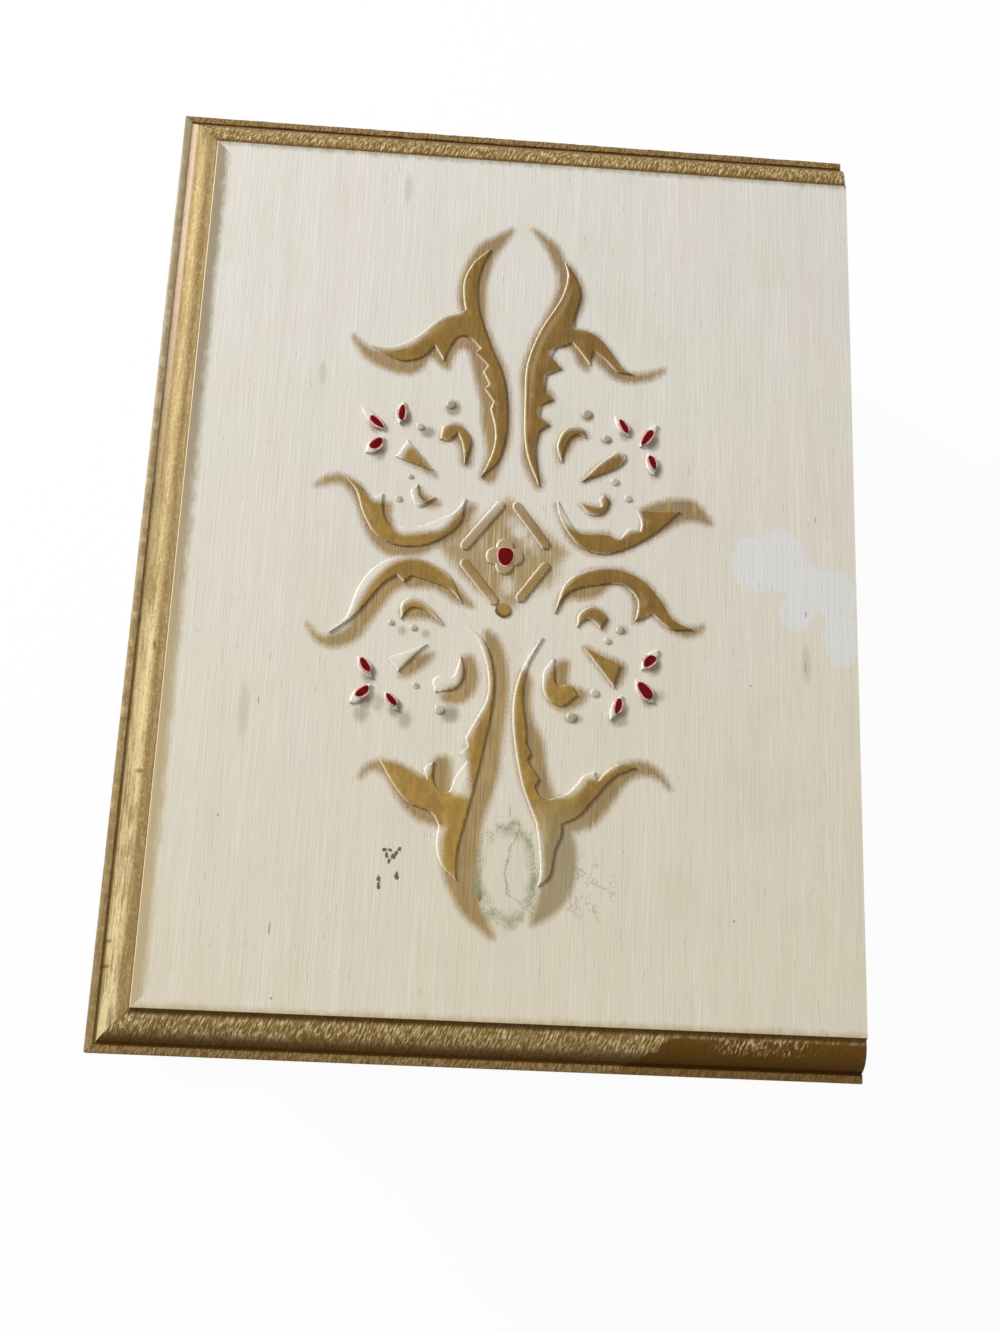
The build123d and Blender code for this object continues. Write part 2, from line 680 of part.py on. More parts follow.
def diamond():
    """Four straight bars round the centre flower."""
    ends = [
        ((-9.2, -2.3), (0.2, -14)), ((3.9, -14.4), (11.8, -3.8)),
        ((-9.5, 1.8), (-0.8, 12.3)), ((11.6, 1.2), (5.2, 10.4)),
    ]
    bars = []
    for start_point, end_point in ends:
        start = Vector(*on_lid(start_point))
        end = Vector(*on_lid(end_point))
        line = end - start
        bar = SlotCenterToCenter(line.length - bar_width, bar_width)
        angle = Vector(1, 0, 0).get_signed_angle(line, Vector(0, 0, 1))
        middle = (start + end) / 2
        place = Pos(middle.X, middle.Y, lid_top) * Rot(0, 0, angle)
        bars.append(place * extrude(bar, relief_height))
    return bars


def flower():
    """Flower of four lobes in the middle of the diamond."""
    x, y = on_lid((1.1, -0.3))
    sketch = Circle(flower_lobe_reach)
    for turn in range(4):
        sketch += Rot(0, 0, 90 * turn) * Pos(flower_lobe_reach, 0) * Circle(flower_lobe_radius)
    return Pos(x, y, lid_top) * extrude(sketch, relief_height)


def flower_core():
    """Round red core on the flower."""
    x, y = on_lid((1.3, -0.5))
    height = petal_height
    return Pos(x, y, lid_top + relief_height + height / 2) * Cylinder(flower_core_radius, height)


def bored(board, fasteners):
    """A board with the room that its fasteners need."""
    for fastener in fasteners:
        board -= fastener
    return board


os.makedirs("parts", exist_ok=True)
parts = {}

# Base and carcass
screws = base_screws()
brads = corner_brads()
post = stay_post()
parts["felt_base"] = box(
    felt_inset - base_length / 2, base_length / 2 - felt_inset,
    base_front_y + felt_inset, back_y - felt_inset, 0, felt_thickness,
)
base = moulded_board(base_length, base_front_y, base_top, base_thickness)
parts["base_board"] = bored(base, screws)
parts["base_screws"] = Compound(screws)
body_screws = hinge_screws(False)
recesses = [leaf_recess(x, False) for x in (-hinge_x, hinge_x)]
front_wall = long_wall(
    box_front_y, inner_front_y, inner_front_y - corner_rabbet, inner_front_y
)
back_wall = long_wall(inner_back_y, back_y, inner_back_y, inner_back_y + corner_rabbet)
parts["carcass_front"] = bored(front_wall, screws + brads)
parts["carcass_back"] = bored(back_wall, screws + brads + recesses + body_screws)
left_wall = end_wall(-box_length / 2, -inner_x)
right_wall = end_wall(inner_x, box_length / 2)
parts["carcass_left_end"] = bored(left_wall, screws + brads)
parts["carcass_right_end"] = bored(right_wall, screws + brads + [post])
parts["corner_brads"] = Compound(brads)

# Linings
parts["lining_floor"] = box(
    lining_gap - inner_x, inner_x - lining_gap,
    inner_front_y + lining_gap, inner_back_y - lining_gap, base_top, floor_top,
)
parts["lining_front"] = wall_lining(-lined_x, lined_x, inner_front_y, lined_front_y)
parts["lining_back"] = wall_lining(-lined_x, lined_x, lined_back_y, inner_back_y)
parts["lining_left"] = wall_lining(-inner_x, -lined_x, inner_front_y, inner_back_y)
right_lining = wall_lining(lined_x, inner_x, inner_front_y, inner_back_y)
parts["lining_right"] = right_lining - post

# Dividers and the ring shelf
half_divider = divider_thickness / 2
long_low = long_divider_y - half_divider
long_high = long_divider_y + half_divider
parts["divider_long"] = divider(divider_gap - lined_x, lined_x - divider_gap, long_low, long_high)
parts["divider_ring"] = divider(
    ring_divider_x - half_divider, ring_divider_x + half_divider,
    lined_front_y + divider_gap, long_low,
)
parts["divider_front"] = divider(
    front_divider_x - half_divider, front_divider_x + half_divider,
    lined_front_y + divider_gap, long_low,
)
parts["divider_back"] = divider(
    back_divider_x - half_divider, back_divider_x + half_divider,
    long_high, lined_back_y - divider_gap,
)
shelf_low = divider_gap - lined_x
shelf_high = ring_divider_x - half_divider - divider_gap
shelf_low_z = shelf_top - shelf_thickness
parts["ring_shelf"] = box(
    shelf_low, shelf_high, ring_front_y, ring_back_y, shelf_low_z, shelf_top
)
parts["ring_shelf_supports"] = Compound([
    box(x, x + support_thickness, ring_front_y, ring_back_y, floor_top, shelf_low_z)
    for x in (shelf_low, shelf_high - support_thickness)
])
parts["ring_rolls"] = Compound(ring_rolls())

# Hinges
lid_screws = hinge_screws(True)
for side_name, side_x in (("left", -hinge_x), ("right", hinge_x)):
    parts[f"hinge_body_leaf_{side_name}"] = bored(hinge_leaf(side_x, False), body_screws)
    parts[f"hinge_lid_leaf_{side_name}"] = bored(hinge_leaf(side_x, True), lid_screws)
    parts[f"hinge_pin_{side_name}"] = rod_x(
        pin_radius, side_x - hinge_length / 2, side_x + hinge_length / 2, hinge_y, hinge_z
    )
parts["hinge_body_screws"] = Compound(body_screws)
parts["hinge_lid_screws"] = Compound(lid_screws)

# Lid with its mirror and stay
lid_recesses = [leaf_recess(x, True) for x in (-hinge_x, hinge_x)]
lid = moulded_board(lid_length, -lid_depth / 2, lid_top, lid_thickness)
stay_screws = bracket_screws()
parts["lid_board"] = bored(lid, lid_recesses + lid_screws + stay_screws)
parts["mirror"] = mirror()
parts["mirror_surround"] = mirror_surround()
parts["stay_bracket"] = bored(stay_bracket(), stay_screws)
parts["stay_bracket_screws"] = Compound(stay_screws)
parts["stay_rivet"] = stay_rivet()
parts["stay_arm"] = stay_arm()
parts["stay_post"] = post

# Raised ornament
parts["relief_stems"] = Compound([
    stem_left_upper(), stem_right_upper(), stem_left_lower(), stem_right_lower()
])
parts["relief_side_leaves"] = Compound([
    side_leaf_front_left(), side_leaf_back_left(), side_leaf_front_right(), side_leaf_back_right()
])
parts["relief_scrolls"] = Compound(scrolls())
parts["relief_drops"] = Compound(drops())
parts["relief_beads"] = Compound(beads())
parts["relief_petals"] = Compound(petals())
parts["relief_diamond"] = Compound(diamond())
parts["relief_flower"] = flower()
parts["relief_flower_core"] = flower_core()

for name, shape in parts.items():
    export_step(shape, f"parts/{name}.step")
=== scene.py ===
import bmesh
import bpy
import json
import math
import numpy as np
from mathutils import Matrix, Vector, noise


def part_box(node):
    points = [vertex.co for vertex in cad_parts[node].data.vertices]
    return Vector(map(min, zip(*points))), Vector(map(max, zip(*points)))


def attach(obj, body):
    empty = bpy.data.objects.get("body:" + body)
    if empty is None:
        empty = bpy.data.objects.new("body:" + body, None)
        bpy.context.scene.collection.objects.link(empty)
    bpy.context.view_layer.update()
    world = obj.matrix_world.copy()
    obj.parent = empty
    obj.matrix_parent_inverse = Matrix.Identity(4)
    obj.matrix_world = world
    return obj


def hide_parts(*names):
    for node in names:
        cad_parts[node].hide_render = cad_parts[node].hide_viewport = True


# Painted jewelry box, seen closed from above. +X is the right end, +Y the hinged back.
# Sizes are in metres. The outlines of the ornament and the patterns of the paint are in millimetres.

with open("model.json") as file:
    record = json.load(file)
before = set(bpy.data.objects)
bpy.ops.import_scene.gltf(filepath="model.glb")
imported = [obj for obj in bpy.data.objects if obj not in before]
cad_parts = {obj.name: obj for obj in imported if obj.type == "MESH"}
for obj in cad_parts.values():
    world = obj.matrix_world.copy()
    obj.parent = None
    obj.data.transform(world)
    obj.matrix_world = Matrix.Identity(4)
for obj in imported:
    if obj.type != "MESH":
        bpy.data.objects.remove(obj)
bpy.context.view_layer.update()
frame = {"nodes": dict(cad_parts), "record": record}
mm = 0.001

# Camera and light
lens = 39.6
sensor_width = 36
camera_place = Vector((0.1253, -0.0180, 0.4489))
camera_right = Vector((-0.0392, 0.9972, 0.0639))
camera_up = Vector((-0.9647, -0.0544, 0.2577))
camera_forward = Vector((-0.2604, 0.0516, -0.9641))
window_place, window_target, window_size, window_power = (-0.62, -1.0, 0.78), (0, 0, 0.09), 0.4, 19
fill_place, fill_target, fill_size, fill_power = (-0.1, 0.9, 1.2), (0, 0, 0.05), 1.2, 3.5
sky_light = 0.38
floor_size = 3
floor_grey = (0.86, 0.86, 0.86, 1)
floor_glow = 0.95

# Worn rim of the walls, in millimetres above the ground
rim_worn_from, rim_worn_to = 79.6, 80.4

# Moulding of the lid and the base, from the crest of the flat face outwards and down
moulding_width = 10.7 * mm
step_run = 0.4 * mm
step_drop = 1.0 * mm
round_run = 7.6 * mm
round_drop = 3.9 * mm
shoulder_run_share = 0.72
shoulder_drop_share = 0.34
groove_width = 0.7 * mm
groove_depth = 0.35 * mm
lip_round = 0.5 * mm
corner_round = 0.8 * mm

# Raised ornament
relief_height = 0.6 * mm
petal_height = 0.8 * mm
relief_edge = 0.75 * mm
relief_swell = 0.22 * mm
cell = 0.66 * mm

# Shading, joins and cuts of all meshes
smooth_angle = math.radians(38)
join_gap = 1e-6
tiny_gap = 1e-7

lid_low, lid_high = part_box("lid_board")
base_low, base_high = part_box("base_board")
lid_face = lid_high.z


def mesh_data(name, source):
    """The mesh of a bmesh, which is freed."""
    made = bpy.data.meshes.new(name)
    source.to_mesh(made)
    source.free()
    return made


def in_scene(name, data):
    """A new object in the scene."""
    made = bpy.data.objects.new(name, data)
    bpy.context.scene.collection.objects.link(made)
    return made


def evaluated(piece):
    """An object with its modifiers worked out."""
    return piece.evaluated_get(bpy.context.evaluated_depsgraph_get())


def block(low, high, mesh=None):
    """A plain block that fills a box, in a new bmesh or added to one, with its own corners."""
    if mesh is None:
        mesh = bmesh.new()
    verts = bmesh.ops.create_cube(mesh, size=1)["verts"]
    bmesh.ops.scale(mesh, vec=high - low, verts=verts)
    bmesh.ops.translate(mesh, vec=(low + high) / 2, verts=verts)
    return mesh, verts


def rounded(mesh, edges, width, steps, clamp=False):
    """Rounds edges of a bmesh by a width, in steps."""
    bmesh.ops.bevel(mesh, geom=edges, offset=width, offset_type="OFFSET", affect="EDGES",
                    segments=steps, profile=0.5, material=-1, clamp_overlap=clamp)


def sliced(mesh, axis, spots):
    """Cuts a bmesh into strips by planes across an axis, so that it can take small dents."""
    way = Vector([float(index == axis) for index in range(3)])
    for spot in spots:
        bmesh.ops.bisect_plane(mesh, geom=mesh.verts[:] + mesh.edges[:] + mesh.faces[:],
                               dist=tiny_gap, plane_co=spot, plane_no=way)


def finished(name, source, body, material, slot, *nodes):
    """A finished piece: a mesh made from a bmesh, riding on a body and standing for nodes."""
    mesh = mesh_data(name, source)
    mesh.materials.append(material)
    piece = in_scene(name, mesh)
    for face in mesh.polygons:
        face.use_smooth = True
    mesh.set_sharp_from_angle(angle=smooth_angle)
    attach(piece, body)
    if nodes:
        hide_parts(*nodes)
    return piece


def corners(points):
    """Straight stretches from point to point, such as the teeth of a leaf."""
    return [points[index:index + 2] for index in range(len(points) - 1)]


# Outlines of the raised ornament, as points across the lid (to the back) and along it (to the
# right end), in millimetres from the lid's centre. Two points make a straight stretch.
stem_left_upper = (
    [[(-6, -88.5), (-10.3, -84.5), (-12.8, -79), (-12.9, -74), (-12.2, -69.6)]]
    + [[(-12.2, -69.6), (-18.8, -66.6), (-24.5, -61.2), (-30.5, -57.7), (-36.4, -57.2)]]
    + [[(-36.4, -57.2), (-31.5, -54.6), (-27.5, -53.5), (-23, -55), (-19.8, -58.4)]]
    + corners([(-19.8, -58.4), (-17.3, -54.3), (-15.8, -58.5)])
    + [[(-15.8, -58.5), (-13.5, -61.7), (-10.5, -61.4), (-7.8, -58.6)]]
    + corners([(-7.8, -58.6), (-9, -57.3), (-5.5, -53.7), (-6.7, -51.8), (-4.9, -48.3)])
    + corners([(-4.9, -48.3), (-6.1, -47), (-3.6, -43.3), (-4.3, -41.2)])
    + [[(-4.3, -41.2), (-2.8, -35), (-3.3, -29), (-6, -21.7)]]
    + [[(-6, -21.7), (-1.3, -27), (0.4, -36), (-0.6, -49), (-5, -60), (-8.6, -71),
        (-8.8, -80), (-6, -88.5)]]
)
stem_right_upper = (
    [[(14.2, -86.3), (15.1, -81.5), (13.4, -74.7), (8.2, -65), (5, -55), (4.7, -45),
      (5, -34), (6.4, -27), (9.3, -20.2)]]
    + [[(9.3, -20.2), (8.8, -25), (8.2, -31), (8.8, -35.5)]]
    + corners([(8.8, -35.5), (11.6, -37.8), (8.8, -40), (9.2, -43.2), (12.4, -45)])
    + corners([(12.4, -45), (9.8, -47.2), (10.4, -52), (14.3, -54.2), (11.4, -57.4)])
    + [[(11.4, -57.4), (12.6, -60), (14.8, -60.9), (17, -62)]]
    + corners([(17, -62), (19.2, -59.4), (21.8, -55.8), (22.9, -60)])
    + [[(22.9, -60), (26, -57.5), (29.3, -54.3), (33.5, -53.7)]]
    + [[(33.5, -53.7), (30.3, -56.2), (25.6, -62.4), (22.4, -65.2), (17.4, -66.7)]]
    + [[(17.4, -66.7), (17.6, -70), (18.9, -76.5), (17.4, -81.5), (14.2, -86.3)]]
)
stem_left_lower = (
    [[(-8, 18.4), (-4.2, 24), (-2, 31), (-2, 37.5), (-4.8, 43.5), (-7, 48)]]
    + corners([(-7, 48), (-6.3, 50), (-8.4, 52.2), (-6.4, 54), (-9.2, 58.2)])
    + [[(-9.2, 58.2), (-10.2, 61.4), (-12.4, 61.4), (-14.2, 59), (-14.4, 54.2)]]
    + [[(-14.4, 54.2), (-16.6, 56), (-15.9, 58.7)]]
    + [[(-15.9, 58.7), (-19, 56.6), (-23, 55.3), (-28.5, 53.4)]]
    + [[(-28.5, 53.4), (-24.2, 60.3), (-20, 64.8), (-14.5, 67), (-12.5, 70)]]
    + [[(-12.5, 70), (-12.8, 75), (-11.4, 79.5), (-7.6, 83.2)]]
    + [[(-7.6, 83.2), (-7.6, 76), (-5, 64), (-2.6, 52), (-0.4, 39), (-0.5, 30),
        (-3, 23), (-8, 18.4)]]
)
stem_right_lower = (
    [[(11.6, 20.8), (7.6, 27), (5, 35), (4.7, 43), (6, 52), (8, 60), (11.4, 68.3)]]
    + [[(11.4, 68.3), (12.3, 74), (12.8, 80), (12.4, 83.8)]]
    + [[(12.4, 83.8), (15.4, 81), (16.4, 75), (17.9, 71), (17.9, 68.2)]]
    + [[(17.9, 68.2), (22, 66), (26.2, 61), (30.5, 56), (36, 53.2)]]
    + [[(36, 53.2), (31.6, 52.6), (28.4, 54.6), (26.4, 57.1)]]
    + corners([(26.4, 57.1), (25.7, 54.7), (23, 55.6)])
    + [[(23, 55.6), (21, 58.2), (18.8, 60.6), (15.9, 61.8)]]
    + [[(15.9, 61.8), (13.6, 62.4), (11.9, 61.2), (11, 59.4)]]
    + corners([(11, 59.4), (12, 57.3), (8.9, 52.8), (9.7, 51), (8.5, 48.6)])
    + [[(8.5, 48.6), (8.2, 44), (7.1, 37), (8, 29), (11.6, 20.8)]]
)
side_leaf_front_left = (
    [[(-41, -19.6), (-38, -15.8), (-36, -10), (-32.5, -4.5), (-27, -1.7), (-20, -2.1),
      (-14, -5.2), (-10.4, -9.5), (-9.6, -15.6)]]
    + [[(-9.6, -15.6), (-12.6, -11.6), (-17.5, -8.8), (-21, -7.2), (-24.6, -6.8)]]
    + [[(-24.6, -6.8), (-28, -6.6), (-30.4, -9.6), (-31, -15.6)]]
    + [[(-31, -15.6), (-34.4, -14.6), (-37.4, -17.8), (-41, -19.6)]]
)
side_leaf_back_left = (
    [[(14.2, -16.6), (14.8, -12.5), (17.4, -7.6), (21, -3.9), (26.5, -2.4), (33, -4.5),
      (40, -9), (46.6, -15.4)]]
    + corners([(46.6, -15.4), (35, -15)])
    + [[(35, -15), (36.2, -12), (36.1, -9.4)]]
    + [[(36.1, -9.4), (33.2, -9.8), (30.6, -6.9), (28.4, -7.6)]]
    + [[(28.4, -7.6), (24, -7.9), (19.6, -8.4), (14.2, -16.6)]]
)
side_leaf_front_right = (
    [[(-42.4, 22.6), (-38.4, 18), (-36, 10.5), (-32, 4.5), (-26, 1.3), (-19.5, 2),
      (-13, 5.4), (-9.3, 13)]]
    + [[(-9.3, 13), (-12.4, 9.6), (-17, 7.8), (-22.3, 6.3)]]
    + corners([(-22.3, 6.3), (-24.4, 8.2), (-26.2, 6.4)])
    + [[(-26.2, 6.4), (-30, 9.4), (-36.4, 18), (-42.4, 22.6)]]
)
side_leaf_back_right = (
    [[(14.4, 14.2), (16.8, 6.2), (22, 2.5), (29, 1.4), (36.8, 4), (41.5, 9.4),
      (44.6, 14), (50, 16.6)]]
    + [[(50, 16.6), (44.4, 16.8), (39.4, 13)]]
    + [[(39.4, 13), (37.4, 14.4), (35.2, 15)]]
    + [[(35.2, 15), (35.6, 9.6), (31.6, 5.6), (24, 6.3), (18, 8.6), (14.4, 14.2)]]
)
scrolls = [
    [
        [(-17.1, -31.8), (-16.4, -35.6), (-12.6, -36.5), (-8.8, -32), (-10.4, -25)],
        [(-10.4, -25), (-11.2, -30.4), (-12.5, -33.8)],
        [(-12.5, -33.8), (-14.6, -31.4), (-17.1, -31.8)],
    ],
    [
        [(15, -27.3), (13.7, -32), (16, -37), (20.2, -37.5), (21.2, -34.6)],
        [(21.2, -34.6), (19, -35.4), (16.6, -33), (15, -27.3)],
    ],
    [
        [(-15, 36.6), (-15.7, 33.6), (-13.6, 32), (-10.8, 32.2), (-9.7, 29.6), (-9, 26.7)],
        [(-9, 26.7), (-7.9, 31.4), (-9.8, 35.3), (-15, 36.6)],
    ],
    [
        [(14.6, 26), (12, 30), (12.6, 36), (17, 38.5), (21, 35.4)],
        [(21, 35.4), (19, 32.8), (15.4, 32.9), (14.6, 26)],
    ],
    [
        [(-22.2, -18.8), (-24, -16.4), (-21.6, -12.4), (-17.4, -15.4)],
        [(-17.4, -15.4), (-19.8, -14.6), (-21.4, -15.8), (-22.2, -18.8)],
    ],
    [
        [(20.2, -16.2), (22.6, -13.2), (26.4, -13.6), (28, -17), (26.4, -19)],
        [(26.4, -19), (25.2, -17.6), (25.4, -15.4), (20.2, -16.2)],
    ],
    [
        [(-24.6, 18), (-24.6, 13.8), (-21.6, 12), (-17.4, 14.2), (-13.8, 19)],
        [(-13.8, 19), (-18.4, 15.4), (-22, 15), (-24.6, 18)],
    ],
    [
        [(20.2, 17.6), (20.8, 13.8), (24.6, 11.8), (28, 14.6), (26.2, 17.6)],
        [(26.2, 17.6), (23.2, 15.3), (20.2, 17.6)],
    ],
]
drops = [
    corners([(-28.3, -26), (-25.5, -31.1), (-18.3, -22.7), (-28.3, -26)]),
    [
        [(20.5, -22.2), (24.6, -27.2), (29.4, -31.2)],
        [(29.4, -31.2), (31.8, -30.9), (32.2, -29)],
        [(32.2, -29), (29.6, -26.4), (20.5, -22.2)],
    ],
    corners([(-27.3, 28.3), (-17.6, 24.2), (-24.4, 31.8), (-27.3, 28.3)]),
    corners([(21.8, 22.7), (31.6, 27.2), (30, 33), (21.8, 22.7)]),
]

beads = [
    (-14.8, -41.8, 1.2), (-22.5, -35, 1.0), (-24.3, -20.9, 0.7), (-27, -14.5, 0.9),
    (21.5, -41.5, 1.3), (26.8, -34.8, 1.1), (29.2, -22.8, 1.1), (32.8, -18.3, 1.0),
    (-27, 19, 0.8), (-21.3, 20, 0.9), (-20, 35, 0.8), (-13.7, 41, 1.2),
    (31.3, 17.7, 1.0), (28.2, 20.7, 0.9), (25.2, 34.6, 1.1), (19.4, 41.2, 1.3),
]
petals = [
    ((-38.2, -39.8), (-32, -33.2), 2.6), ((-27.1, -41.8), (-27.9, -35.3), 2.8),
    ((-36.1, -26.6), (-31.7, -31.2), 3.6), ((28.8, -41.4), (32.8, -35.7), 2.6),
    ((35.7, -32.9), (40.2, -39.6), 2.8), ((37.9, -31.4), (39.6, -25.2), 2.8),
    ((-34.8, 28.2), (-30.9, 34), 2.7), ((-36, 40.5), (-31, 35.5), 3.2),
    ((-27.6, 37), (-23.9, 42), 2.5), ((41.2, 22.4), (36.9, 28), 3.0),
    ((35.4, 30.6), (40.2, 36.6), 3.6), ((32, 34.9), (29.3, 41.4), 2.6),
]
petal_reds = [
    ((-35.7, -36.8), (-32.2, -33.8), 1.7), ((-27.3, -40.5), (-27.5, -36.2), 1.7),
    ((-35, -27.8), (-32.2, -30.5), 2.4), ((30.2, -40.2), (32.3, -36.5), 1.6),
    ((36.2, -33.5), (39, -37.8), 1.8), ((38.3, -30.5), (39.7, -26.8), 1.7),
    ((-34, 29), (-31.6, 32.3), 1.8), ((-34.5, 38.8), (-31.5, 36.3), 2.0),
    ((-27, 37.8), (-24.5, 40.6), 1.5), ((40.3, 24.3), (37.6, 27), 2.3),
    ((36.3, 31.5), (39.5, 35.5), 2.6), ((31.6, 35.8), (30.7, 39.7), 1.7),
]
diamond_bars = [
    ((-10, -1.7), (0.1, -15.2)), ((3.1, -15.2), (12.3, -3.1)),
    ((-9.9, 1.2), (-0.5, 12.7)), ((12.4, 0.8), (4.8, 11.6)),
]
bar_width = 2.6
bar_gilding = 0.62
flower_centre = (1.1, -0.3)
flower_lobe_radius = 2.3
flower_lobe_reach = 2.6
flower_core = ((1.3, -2.6), (1.3, 2.2), 3.9)
flower_core_halo = ((1.3, -2.9), (1.3, 2.5), 4.6)
drip_centre = (1.3, 14.2)
drip_radius = 2.0

